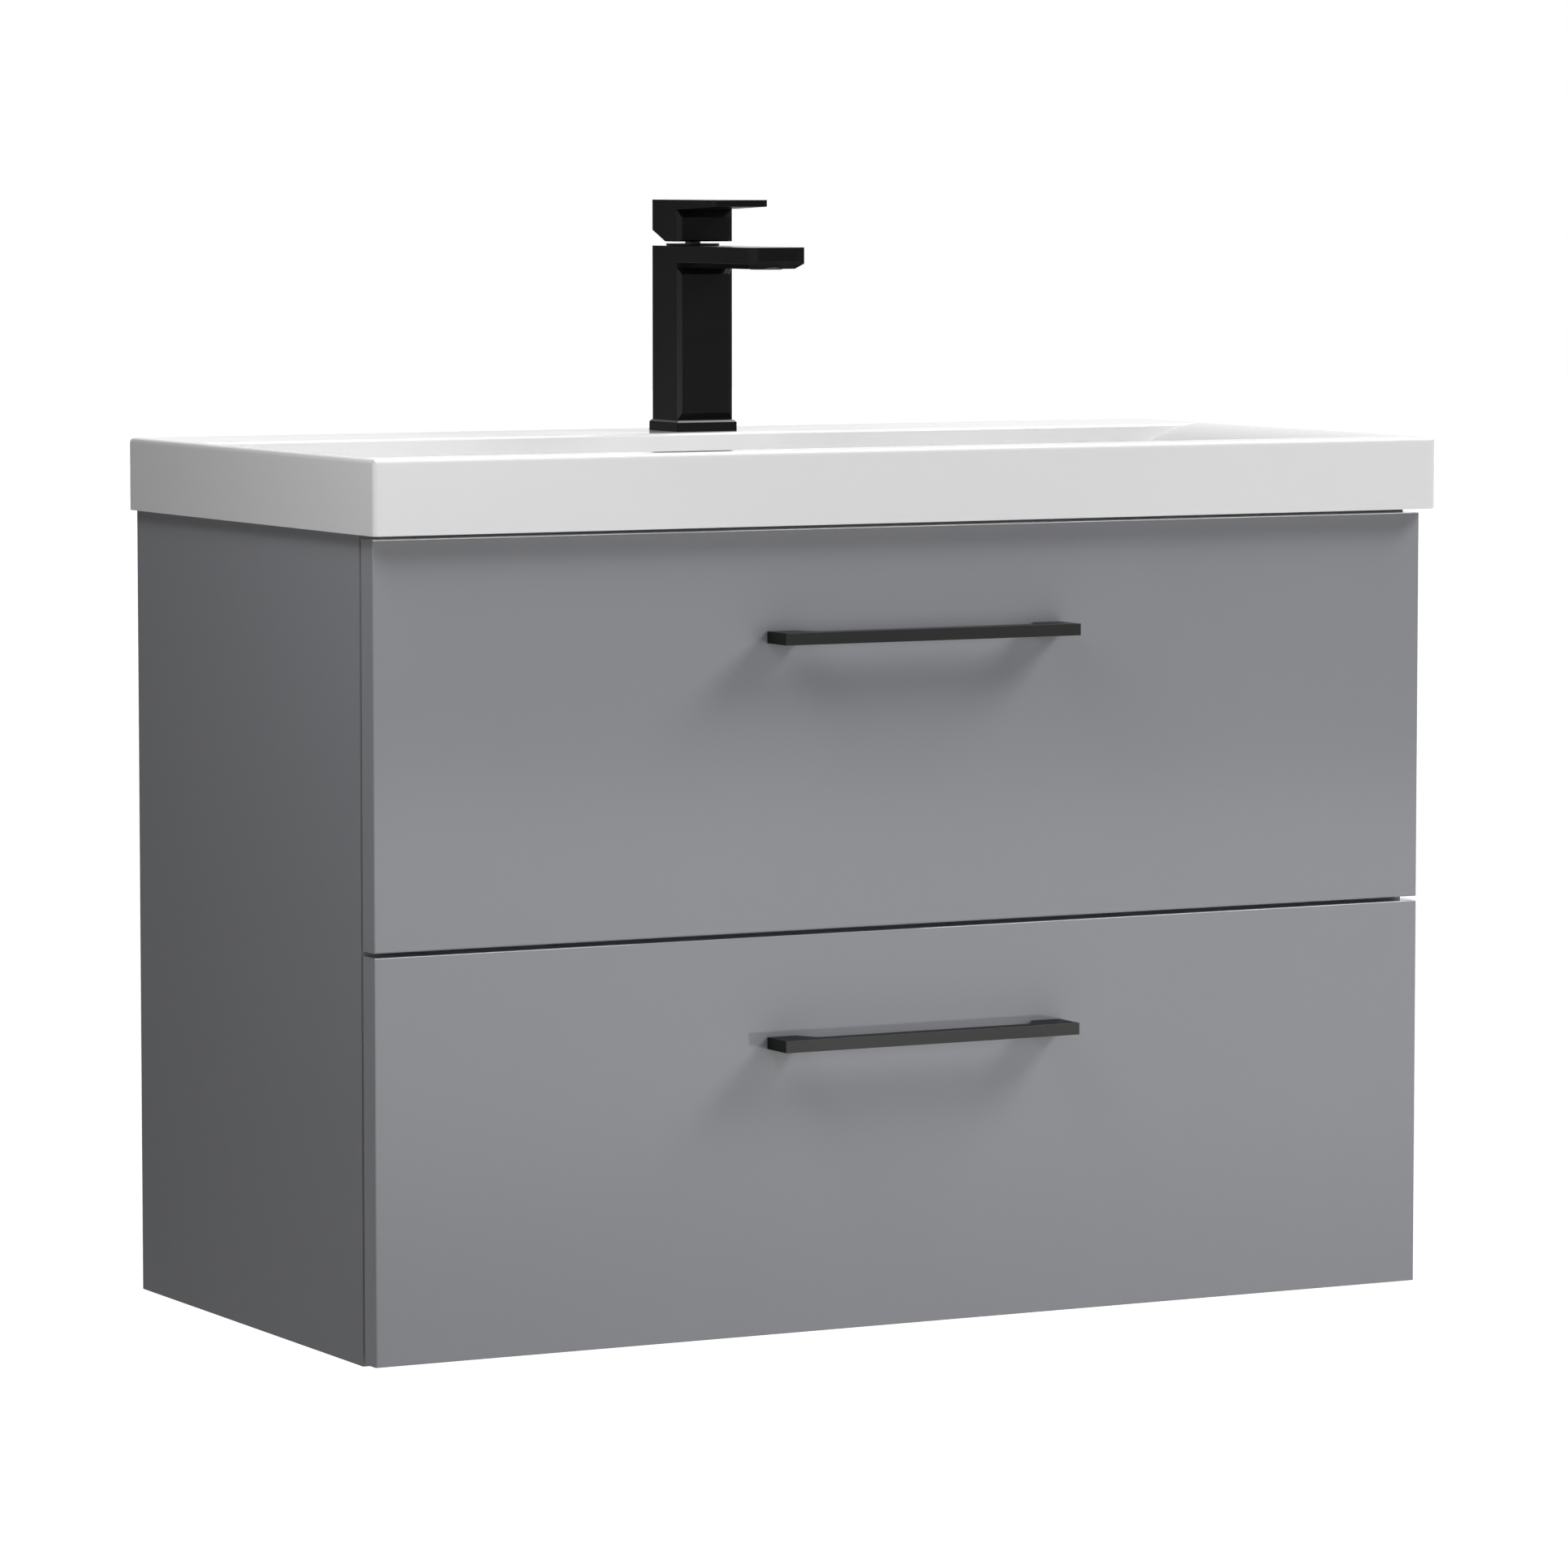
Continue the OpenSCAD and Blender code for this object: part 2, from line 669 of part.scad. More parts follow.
module lower_runner_right_fixed() runner_fixed(lower_box_z);

module lower_runner_left_fixed() mirror([1, 0, 0]) lower_runner_right_fixed();

module upper_runner_right_middle() runner_middle(upper_box_z);

module upper_runner_left_middle() mirror([1, 0, 0]) upper_runner_right_middle();

module lower_runner_right_middle() runner_middle(lower_box_z);

module lower_runner_left_middle() mirror([1, 0, 0]) lower_runner_right_middle();

module upper_runner_right_drawer() runner_drawer(upper_box_z);

module upper_runner_left_drawer() mirror([1, 0, 0]) upper_runner_right_drawer();

module lower_runner_right_drawer() runner_drawer(lower_box_z);

module lower_runner_left_drawer() mirror([1, 0, 0]) lower_runner_right_drawer();

// ---- Drawers ----

front_edge_r = 1;

// A drawer front with slightly rounded edges and clearance holes for its handle's screws
module drawer_front(z) color([0.48, 0.48, 0.5]) difference() {
    half = cabinet_w / 2;
    r = front_edge_r;
    intersection() {
        along_x(cabinet_w) polygon(concat(
            [[front_back_y, z], [front_back_y, z + front_h]],
            arc([front_y + r, z + front_h - r], r, 90, 180, 3),
            arc([front_y + r, z + r], r, 180, 270, 3)
        ));
        translate([0, 0, z]) linear_extrude(front_h) polygon(concat(
            [[half, front_back_y], [-half, front_back_y]],
            arc([-half + r, front_y + r], r, 180, 270, 3),
            arc([half - r, front_y + r], r, 270, 360, 3)
        ));
    }
    handle_screw_holes(z, front_y - cut, front_back_y + cut);
}

module at_handle_screws(z) both_sides()
    translate([handle_l / 2 - handle_screw_in, 0, z + front_h - handle_drop]) children();

module handle_screw_holes(z, y0, y1) at_handle_screws(z) rod_y(screw_d / 2 + pin_gap, y0, y1);

// The board at the foot of a drawer box, set into the inner front and the sides by `into`, and the
// grooves that it fits, which run out past the back
module base_form(z, into, back) block(
    [-box_inner_w / 2 - into, box_inner_w / 2 + into],
    [front_back_y + box_t - into, back],
    [z + groove_rise, z + groove_rise + base_t]
);

module base_board(z) color("white") base_form(z, groove_depth - groove_slack, box_back_y);

module base_groove(z) base_form(z, groove_depth, box_back_y + cut);

// The board behind a drawer front, as high as the box
module inner_front(z, h) color("white") difference() {
    block([-box_inner_w / 2, box_inner_w / 2], [front_back_y, front_back_y + box_t], [z, z + h]);
    base_groove(z);
    front_screw_holes(z, h);
}

module box_side(z, h) color("white") difference() {
    block([box_inner_w / 2, box_w / 2], [front_back_y, box_back_y], [z, z + h]);
    base_groove(z);
}

front_screw_x = [0.32, 0.88];
front_screw_bite = 12;
handle_screw_bite = 8;

module at_front_screws(z, h) {
    base_top = z + groove_rise + base_t;
    both_sides() for (i = front_screw_x, rise = [0.25, 0.75])
        translate([box_inner_w / 2 * i, 0, base_top + (z + h - base_top) * rise]) children();
}

module front_screw_holes(z, h) at_front_screws(z, h)
    rod_y(screw_d / 2 + pin_gap, front_back_y - front_screw_bite - 3, front_back_y + box_t + cut);

// Screws that hold the drawer front to the inner front
module front_screws(z, h) color("silver") at_front_screws(z, h) {
    rod_y(screw_d / 2, front_back_y - front_screw_bite, front_back_y + box_t);
    rod_y(screw_head_d / 2, front_back_y + box_t, front_back_y + box_t + screw_head_t);
}

module drawer_front_bored(z, box_z, h) difference() {
    drawer_front(z);
    front_screw_holes(box_z, h);
}

// Flat bar handle on two feet
module handle(z) color([0.16, 0.16, 0.16]) difference() {
    translate([0, 0, z + front_h - handle_drop - handle_h / 2]) linear_extrude(handle_h) polygon([
        [-handle_l / 2, front_y - handle_out], [handle_l / 2, front_y - handle_out],
        [handle_l / 2, front_y], [handle_l / 2 - handle_foot, front_y],
        [handle_l / 2 - handle_foot - handle_slant, front_y - handle_out + handle_bar],
        [-handle_l / 2 + handle_foot + handle_slant, front_y - handle_out + handle_bar],
        [-handle_l / 2 + handle_foot, front_y], [-handle_l / 2, front_y]
    ]);
    handle_screw_holes(z, front_y - handle_screw_bite - 1, front_y + cut);
}

// Handle screws, with their heads on the back of the boards that they clamp
module handle_screws(z, clamp) color("silver") at_handle_screws(z) {
    rod_y(screw_d / 2, front_y - handle_screw_bite, front_y + clamp);
    rod_y(screw_head_d / 2, front_y + clamp, front_y + clamp + screw_head_t);
}

module upper_drawer_front() drawer_front_bored(upper_front_z, upper_box_z, upper_box_h);

module upper_drawer_inner_front() inner_front(upper_box_z, upper_box_h);

module upper_drawer_side_right() box_side(upper_box_z, upper_box_h);

module upper_drawer_side_left() mirror([1, 0, 0]) upper_drawer_side_right();

upper_base_top = upper_box_z + groove_rise + base_t;

// The two back boards, one each side of the cut-out round the waste
module upper_drawer_backs() color("white") both_sides() block(
    [cutout_w / 2 + box_t, box_inner_w / 2], [box_back_y - box_t, box_back_y],
    [upper_base_top, upper_box_z + upper_box_h]
);

module upper_drawer_base() color("white") difference() {
    base_board(upper_box_z);
    block([-cutout_w / 2, cutout_w / 2], [cutout_y, box_back_y + cut], [upper_box_z, upper_base_top + cut]);
}

// Three boards that line the cut-out
module upper_drawer_waste_surround() color("white") {
    top = upper_box_z + upper_box_h;
    both_sides() block([cutout_w / 2, cutout_w / 2 + box_t], [cutout_y, box_back_y], [upper_base_top, top]);
    block([-cutout_w / 2 - box_t, cutout_w / 2 + box_t], [cutout_y - box_t, cutout_y], [upper_base_top, top]);
}

module upper_drawer_front_screws() front_screws(upper_box_z, upper_box_h);

module upper_drawer_handle() handle(upper_front_z);

module upper_drawer_handle_screws() handle_screws(upper_front_z, front_t);

module lower_drawer_front() drawer_front_bored(lower_front_z, lower_box_z, lower_box_h);

module lower_drawer_inner_front() difference() {
    inner_front(lower_box_z, lower_box_h);
    handle_screw_holes(lower_front_z, front_back_y - cut, front_back_y + box_t + cut);
}

module lower_drawer_side_right() box_side(lower_box_z, lower_box_h);

module lower_drawer_side_left() mirror([1, 0, 0]) lower_drawer_side_right();

module lower_drawer_back() color("white") block(
    [-box_inner_w / 2, box_inner_w / 2], [box_back_y - box_t, box_back_y],
    [lower_box_z + groove_rise + base_t, lower_box_z + lower_box_h]
);

module lower_drawer_base() base_board(lower_box_z);

module lower_drawer_front_screws() front_screws(lower_box_z, lower_box_h);

module lower_drawer_handle() handle(lower_front_z);

module lower_drawer_handle_screws() handle_screws(lower_front_z, front_t + box_t);

// ---- Tap ----

column_z = rim_z + tap_base_h;
column_top = rim_z + tap_h;
spout_z = column_top - spout_t;
lever_z = column_top + lever_gap;
blade_z = lever_z + lever_block_h;
lever_top = blade_z + lever_root_t;
pivot_z = column_top - 12;
// Bevels on the tap: across the front, and back from it
bevel_w = 3.5;
bevel_d = 2;

// A block whose front stands proud of its sides, and is bevelled at its top and bottom too
module pillow_block(d, z0, z1, bottom_bevel, top_bevel) intersection() {
    translate([0, 0, z0]) linear_extrude(z1 - z0) polygon([
        [-tap_w / 2, d / 2], [-tap_w / 2, -d / 2 + bevel_d], [-tap_w / 2 + bevel_w, -d / 2],
        [tap_w / 2 - bevel_w, -d / 2], [tap_w / 2, -d / 2 + bevel_d], [tap_w / 2, d / 2]
    ]);
    along_x(tap_w) polygon([
        [d / 2, z0], [d / 2, z1], [-d / 2 + bevel_d, z1], [-d / 2, z1 - top_bevel],
        [-d / 2, z0 + bottom_bevel], [-d / 2 + bevel_d, z0]
    ]);
}

// A [half-width, height] outline of a plate, with a chamfer c along the edges of its top
function plate_outline(half, z0, z1, c) =
    [[-half, z0], [half, z0], [half, z1 - c], [half - c, z1], [-half + c, z1], [-half, z1 - c]];

// Bevels of the spout: under its tip, along its lower edges, and across its front corners
tip_bevel = [9, 5];
edge_bevel = [4, 3.7];
corner_bevel = [6.7, 2.7];

module spout() intersection() {
    half = tap_w / 2;
    tip = -spout_reach;
    along_x(tap_w) polygon([
        [0, spout_z], [tip + tip_bevel.x, spout_z], [tip, spout_z + tip_bevel.y],
        [tip, column_top], [0, column_top]
    ]);
    translate([0, 0, spout_z]) linear_extrude(spout_t) polygon([
        [-half, 0], [-half, tip + corner_bevel.y], [-half + corner_bevel.x, tip],
        [half - corner_bevel.x, tip], [half, tip + corner_bevel.y], [half, 0]
    ]);
    along_y(3 * spout_reach) polygon([
        [-half + edge_bevel.x, spout_z], [half - edge_bevel.x, spout_z], [half, spout_z + edge_bevel.y],
        [half, column_top], [-half, column_top], [-half, spout_z + edge_bevel.y]
    ]);
}

// The column stands on a round boss that goes down into the basin's tap hole. The boss is hollow,
// and the inlets and the fixing stud go up into the column from the top of its hollow.
boss_r = tap_hole_r - 1;
boss_z = rim_z - 6;
boss_wall = 2;
cartridge_r = 17.4;
cartridge_h = 36;
cartridge_z = column_top - cartridge_h;
inlet_r = 4.5;
inlet_x = 9;
inlet_depth = 16;
stud_r = 3;
stud_y = 8;
stud_depth = 12;
aerator_in = 18;
aerator_y = aerator_in - spout_reach;
aerator_r = 11;
aerator_depth = 7;
column_bevel = 5;

module at_tap() translate([0, tap_y, 0]) children();

module tap_body() color([0.1, 0.1, 0.1]) at_tap() difference() {
    union() {
        pillow_block(tap_d, column_z, spout_z, column_bevel, column_bevel);
        block([-tap_w / 2, tap_w / 2], [-tap_d / 2 + bevel_d, tap_d / 2], [spout_z - cut, column_top]);
        spout();
        translate([0, 0, boss_z]) cylinder(r = boss_r, h = column_z - boss_z + cut);
    }
    translate([0, 0, boss_z - cut]) cylinder(r = boss_r - boss_wall, h = column_z - boss_z + cut);
    translate([0, 0, cartridge_z]) cylinder(r = cartridge_r + pin_gap, h = column_top - cartridge_z + cut);
    translate([0, aerator_y, spout_z - cut]) cylinder(r = aerator_r + pin_gap, h = aerator_depth + cut);
    for (x = [-inlet_x, inlet_x])
        translate([x, 0, column_z - cut]) cylinder(r = inlet_r, h = inlet_depth + cut);
    translate([0, stud_y, column_z - cut]) cylinder(r = stud_r + pin_gap, h = stud_depth + 2 * cut);
}

// Square plate under the column, with a chamfered top edge
module tap_base_plate() color([0.1, 0.1, 0.1]) at_tap() difference() {
    w = tap_w / 2 + tap_base_step;
    d = tap_d / 2 + tap_base_step;
    chamfer = 1.5;
    intersection() {
        along_y(2 * d) polygon(plate_outline(w, rim_z, column_z, chamfer));
        along_x(2 * w) polygon(plate_outline(d, rim_z, column_z, chamfer));
    }
    translate([0, 0, rim_z - cut]) cylinder(r = boss_r + pin_gap, h = tap_base_h + 2 * cut);
}

// Aerator screwed into the underside of the spout, with a grid of small holes in its recessed face
module tap_aerator() color("silver") at_tap() translate([0, aerator_y, spout_z]) difference() {
    pitch = 3;
    rim = 2;
    translate([0, 0, -0.5]) cylinder(r = aerator_r, h = aerator_depth + 0.5);
    translate([0, 0, -cut]) cylinder(r = aerator_r - rim, h = 2 * cut);
    for (x = [-2:2], y = [-2:2]) if (norm([x, y]) < 2.5)
        translate([pitch * x, pitch * y, 0]) cylinder(r = 0.9, h = aerator_depth - 2);
}

carrier_r = 12;
carrier_h = 10;
collar_z = column_top - 8;
collar_lip = 1.4;
collar_top = column_top + 1.6;
stem_w = 8;
stem_socket = 14;
pivot_r = 1.5;
// The carrier's underside, and the floor of its slot, which clears the round foot of the stem
carrier_z = collar_z - carrier_h;
slot_z = pivot_z - stem_w / 2 - slide_gap;

// Ceramic cartridge in the top of the column, with a pocket for the carrier that the lever turns
module tap_cartridge() color("white") at_tap() difference() {
    translate([0, 0, cartridge_z]) cylinder(r = cartridge_r, h = collar_z - cartridge_z);
    translate([0, 0, carrier_z]) cylinder(r = carrier_r + pin_gap, h = carrier_h + cut);
}

module tap_collar() color([0.1, 0.1, 0.1]) at_tap() difference() {
    union() {
        translate([0, 0, collar_z]) cylinder(r = cartridge_r, h = column_top - collar_z);
        translate([0, 0, column_top]) cylinder(r = cartridge_r + collar_lip, h = collar_top - column_top);
    }
    translate([0, 0, collar_z - cut])
        cylinder(r = carrier_r - collar_lip, h = collar_top - collar_z + 2 * cut);
}

// A hole or a pin across the stem
module across(r, l) translate([0, 0, pivot_z]) rotate([0, 90, 0]) cylinder(r = r, h = l, center = true);

// Turns with the lever, and carries the pin that the lever lifts about
module tap_carrier() color("gray") at_tap() difference() {
    half_slot = stem_w / 2 + slide_gap;
    translate([0, 0, carrier_z + 0.1]) cylinder(r = carrier_r, h = carrier_h - 0.1 - slide_gap);
    block([-half_slot, half_slot], [-carrier_r + 4.5, carrier_r - 4.5], [slot_z, column_top]);
    across(pivot_r + pin_gap, 3 * carrier_r);
}

module tap_pivot_pin() color("silver") at_tap() across(pivot_r, 2 * carrier_r - 3);

// Square stem with a round foot, which turns on the pivot pin
module tap_stem() color("silver") at_tap() difference() {
    union() {
        block([-stem_w / 2, stem_w / 2], [-stem_w / 2, stem_w / 2], [pivot_z, lever_z + stem_socket]);
        across(stem_w / 2, stem_w);
    }
    across(pivot_r + pin_gap, 3 * stem_w);
}

// The heel's height lets the lever tip back without meeting the column
lever_heel = tap_d / 2 * tan(lever_lift) + 1.5;
lever_root = 4;
lever_corner = [2.8, 2];

// Lever block with its blade; the heel is cut away so that the lever can tip back
module tap_lever() color([0.1, 0.1, 0.1]) at_tap() difference() {
    half = tap_w / 2;
    tip = -lever_reach;
    union() {
        intersection() {
            pillow_block(tap_d, lever_z, blade_z, 1, 6);
            along_x(tap_w) polygon([
                [-tap_d, lever_z], [0, lever_z], [tap_d / 2, lever_z + lever_heel],
                [tap_d / 2, blade_z], [-tap_d, blade_z]
            ]);
        }
        intersection() {
            along_x(tap_w) polygon([
                [tap_d / 2, blade_z - cut], [-tap_d / 2 + bevel_d, blade_z - cut],
                [-tap_d / 2 + bevel_d, blade_z], [-tap_d / 2 - lever_root, blade_z],
                [tip, lever_top - lever_tip_t], [tip, lever_top], [tap_d / 2, lever_top]
            ]);
            translate([0, 0, lever_z]) linear_extrude(lever_top) polygon([
                [-half, tap_d / 2], [-half, tip + lever_corner.y], [-half + lever_corner.x, tip],
                [half - lever_corner.x, tip], [half, tip + lever_corner.y], [half, tap_d / 2]
            ]);
        }
    }
    block([-stem_w / 2, stem_w / 2], [-stem_w / 2, stem_w / 2], [lever_z - cut, lever_z + stem_socket]);
}

clamp_washer_t = 3;
clamp_nut_t = 8;
clamp_washer_z = rim_z - ceramic_t - clamp_washer_t;
clamp_nut_z = clamp_washer_z - clamp_nut_t;
stud_tail = 27;

module at_stud(z) at_tap() translate([0, stud_y, z]) children();

module tap_stud() color("silver") at_stud(clamp_nut_z - stud_tail)
    cylinder(r = stud_r, h = stud_tail + column_z + stud_depth - clamp_nut_z);

// Horseshoe washer, open at the front to let the supply tails through
module tap_clamp_washer() color("silver") difference() {
    at_tap() translate([0, 0, clamp_washer_z]) difference() {
        cylinder(r = tap_hole_r + 2.5, h = clamp_washer_t);
        block(
            [-inlet_x - 6, inlet_x + 6], [-2 * tap_hole_r, stud_y - stud_r], [-cut, clamp_washer_t + cut]
        );
    }
    at_stud(clamp_washer_z - cut) cylinder(r = stud_r + pin_gap, h = clamp_washer_t + 2 * cut);
}

module tap_clamp_nut() color("goldenrod") at_stud(clamp_nut_z) difference() {
    cylinder(r = 5.6, h = clamp_nut_t, $fn = 6);
    translate([0, 0, -cut]) cylinder(r = stud_r + pin_gap, h = clamp_nut_t + 2 * cut);
}

side_panel_left();
side_panel_right();
bottom_panel();
front_rail();
middle_rail();
hanger_rail();
lower_rail();
carcass_dowels();
bumper_pads();
cabinet_hangers();
wall_plates();
upper_runner_left_fixed();
upper_runner_right_fixed();
lower_runner_left_fixed();
lower_runner_right_fixed();
upper_runner_left_middle();
upper_runner_right_middle();
lower_runner_left_middle();
lower_runner_right_middle();
upper_runner_left_drawer();
upper_runner_right_drawer();
lower_runner_left_drawer();
lower_runner_right_drawer();
upper_drawer_front();
upper_drawer_inner_front();
upper_drawer_side_left();
upper_drawer_side_right();
upper_drawer_backs();
upper_drawer_base();
upper_drawer_waste_surround();
upper_drawer_front_screws();
upper_drawer_handle();
upper_drawer_handle_screws();
lower_drawer_front();
lower_drawer_inner_front();
lower_drawer_side_left();
lower_drawer_side_right();
lower_drawer_back();
lower_drawer_base();
lower_drawer_front_screws();
lower_drawer_handle();
lower_drawer_handle_screws();
basin();
overflow_ring();
waste_body();
waste_seal();
waste_nut();
waste_plug();
tap_body();
tap_base_plate();
tap_aerator();
tap_cartridge();
tap_collar();
tap_carrier();
tap_pivot_pin();
tap_stem();
tap_lever();
tap_stud();
tap_clamp_washer();
tap_clamp_nut();
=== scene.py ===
"""Wall-hung bathroom vanity: its finishes, its eased and small pieces, its light and its camera.

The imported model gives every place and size. This script dresses its nodes, replaces the hard-edged
metal with copies whose edges are eased, adds the fastenings that show when a drawer is out, and lights
the unit in a plain white studio.
"""

import json
import logging
import math
from dataclasses import dataclass
from enum import Enum

import bmesh
import bpy
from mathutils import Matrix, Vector


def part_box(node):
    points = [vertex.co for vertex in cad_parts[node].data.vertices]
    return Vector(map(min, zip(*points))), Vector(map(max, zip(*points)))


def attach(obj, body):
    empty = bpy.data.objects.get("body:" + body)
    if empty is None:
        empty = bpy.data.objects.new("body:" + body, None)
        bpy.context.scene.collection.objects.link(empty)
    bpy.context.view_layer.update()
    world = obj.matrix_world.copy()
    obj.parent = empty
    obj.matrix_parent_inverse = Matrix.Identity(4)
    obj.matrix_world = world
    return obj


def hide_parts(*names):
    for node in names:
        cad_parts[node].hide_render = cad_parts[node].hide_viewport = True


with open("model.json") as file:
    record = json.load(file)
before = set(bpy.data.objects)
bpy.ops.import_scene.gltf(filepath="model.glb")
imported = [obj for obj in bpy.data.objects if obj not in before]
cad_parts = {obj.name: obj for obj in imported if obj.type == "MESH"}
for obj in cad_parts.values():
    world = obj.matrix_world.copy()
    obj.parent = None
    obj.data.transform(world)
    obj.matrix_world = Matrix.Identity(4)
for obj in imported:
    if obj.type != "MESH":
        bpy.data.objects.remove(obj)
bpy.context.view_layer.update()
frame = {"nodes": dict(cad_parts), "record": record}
MM = 0.001
LOG = logging.getLogger("vanity")

Socket = bpy.types.NodeSocket
Node = bpy.types.Node
Tree = bpy.types.NodeTree
Material = bpy.types.Material
Piece = bpy.types.Object
Colour = tuple[float, float, float, float]


class Level(Enum):
    """The two drawers."""

    UPPER = "upper"
    LOWER = "lower"


class Side(Enum):
    """The two sides of the cabinet, each with the sign of its x."""

    LEFT = -1
    RIGHT = 1


# ---- Node trees ----


class Graph:
    """Builds nodes and links in one node tree."""

    def __init__(self, tree: Tree) -> None:
        """Keeps the tree.

        Args:
            tree: the shader or geometry tree to build in.
        """
        self.tree = tree

    def node(self, kind: str, inputs: dict | None = None, **settings) -> Node:
        """Adds a node.

        Args:
            kind: the node's type, such as ShaderNodeBump.
            inputs: input name or index to a plain value or to a socket to link from.
            settings: properties of the node itself.

        Returns:
            The new node.
        """
        node = self.tree.nodes.new(kind)
        for name, value in settings.items():
            setattr(node, name, value)
        for key, value in (inputs or {}).items():
            self.feed(node.inputs[key], value)
        return node

    def feed(self, entry: Socket, value: object) -> None:
        """Links a socket into an input, or sets the input to a plain value."""
        if isinstance(value, Socket):
            self.tree.links.new(value, entry)
        else:
            entry.default_value = value

    def maths(self, operation: str, a: float | Socket, b: float | Socket = 0.0) -> Socket:
        """Adds a Math node and returns its result."""
        return self.node("ShaderNodeMath", {0: a, 1: b}, operation=operation).outputs[0]

    def blend(self, factor: float | Socket, a: Colour | Socket, b: Colour | Socket) -> Socket:
        """Mixes two colours and returns the result."""
        return self.node("ShaderNodeMix", {0: factor, 6: a, 7: b}, data_type="RGBA").outputs[2]

    def noise(self, vector: Socket, scale: float | Socket, detail: float) -> Socket:
        """Adds a noise of the given scale and returns its value."""
        inputs = {"Vector": vector, "Scale": scale, "Detail": detail}
        return self.node("ShaderNodeTexNoise", inputs).outputs[0]

    def remap(
        self, value: Socket, low: float, high: float, to_low: float = 0.0, to_high: float = 1.0
    ) -> Socket:
        """Maps a value from one range to another, with a smooth step between.

        Args:
            value: the socket to map.
            low: the value that gives to_low.
            high: the value that gives to_high.
            to_low: the result at low.
            to_high: the result at high.

        Returns:
            The mapped value's socket.
        """
        inputs = {0: value, 1: low, 2: high, 3: to_low, 4: to_high}
        return self.node("ShaderNodeMapRange", inputs, interpolation_type="SMOOTHSTEP").outputs[0]


def linear(red: float, green: float, blue: float) -> Colour:
    """Turns a display colour, 0 to 255 a channel, into a linear one with full alpha."""

    def channel(value: float) -> float:
        """Turns one channel linear."""
        value /= 255
        return value / 12.92 if value <= 0.04045 else ((value + 0.055) / 1.055) ** 2.4

    return channel(red), channel(green), channel(blue), 1.0


class Effect:
    """A shader node group that several finishes share, with its inputs and outputs in place."""

    def __init__(self, name: str, inputs: dict[str, float | Colour], outputs: dict[str, str]) -> None:
        """Makes the group with no nodes of its own yet.

        Args:
            name: the group's name.
            inputs: input name to its default, a number or a colour.
            outputs: output name to its socket type.
        """
        tree = bpy.data.node_groups.new(name, "ShaderNodeTree")
        for label, default in inputs.items():
            kind = "NodeSocketFloat" if isinstance(default, float) else "NodeSocketColor"
            tree.interface.new_socket(label, in_out="INPUT", socket_type=kind).default_value = default
        for label, kind in outputs.items():
            tree.interface.new_socket(label, in_out="OUTPUT", socket_type=kind)
        self.graph = Graph(tree)
        self.given = self.graph.node("NodeGroupInput").outputs
        self.result = self.graph.node("NodeGroupOutput")
        self.place = self.graph.node("ShaderNodeTexCoord").outputs["Object"]

    def finish(self, outputs: dict[str, Socket]) -> Tree:
        """Links the outputs.

        Args:
            outputs: output name to the socket that gives it.

        Returns:
            The finished group.
        """
        for label, value in outputs.items():
            self.graph.feed(self.result.inputs[label], value)
        return self.graph.tree


def ripple_effect() -> Tree:
    """A sprayed, wrapped or glazed skin: long soft waves with a finer ripple on them.

    Returns:
        The group, which puts out a height and the long waves alone.
    """
    effect = Effect(
        "skin_ripple",
        {"Wave Scale": 9.0, "Ripple Scale": 160.0, "Ripple Share": 0.2},
        {"Height": "NodeSocketFloat", "Waves": "NodeSocketFloat"},
    )
    graph = effect.graph
    waves = graph.noise(effect.place, effect.given["Wave Scale"], detail=2.0)
    ripple = graph.noise(effect.place, effect.given["Ripple Scale"], detail=3.0)
    height = graph.maths("ADD", waves, graph.maths("MULTIPLY", ripple, effect.given["Ripple Share"]))
    return effect.finish({"Height": height, "Waves": waves})


def mottle_effect() -> Tree:
    """A faint cloudiness of tone, as a real batch of colour has.

    Returns:
        The group, which puts out the toned colour.
    """
    effect = Effect(
        "tone_mottle",
        {"Colour": (0.5, 0.5, 0.5, 1.0), "Amount": 0.05, "Scale": 6.0},
        {"Colour": "NodeSocketColor"},
    )
    graph = effect.graph
    clouds = graph.maths("SUBTRACT", graph.noise(effect.place, effect.given["Scale"], detail=4.0), 0.5)
    swing = graph.maths("MULTIPLY", clouds, effect.given["Amount"])
    gain = graph.maths("ADD", graph.maths("MULTIPLY", swing, 2.0), 1.0)
    inputs = {0: effect.given["Colour"], "Scale": gain}
    toned = graph.node("ShaderNodeVectorMath", inputs, operation="SCALE").outputs[0]
    return effect.finish({"Colour": toned})


def streak_effect() -> Tree:
    """Fine lines along one direction, as rolling and brushing leave on metal and growth leaves in wood.

    Returns:
        The group, which puts out a height and a mask of the lines.
    """
    effect = Effect(
        "drawn_streaks",
        {"Along X": 4.0, "Along Y": 4.0, "Along Z": 900.0},
        {"Height": "NodeSocketFloat", "Streaks": "NodeSocketFloat"},
    )
    graph = effect.graph
    stretch = graph.node("ShaderNodeCombineXYZ", {i: effect.given[i] for i in range(3)}).outputs[0]
    inputs = {0: effect.place, 1: stretch}
    place = graph.node("ShaderNodeVectorMath", inputs, operation="MULTIPLY").outputs[0]
    lines = graph.noise(place, 1.0, detail=3.0)
    return effect.finish({"Height": lines, "Streaks": graph.remap(lines, 0.35, 0.65)})


RIPPLE = ripple_effect()
MOTTLE = mottle_effect()
STREAKS = streak_effect()


# ---- Finishes ----


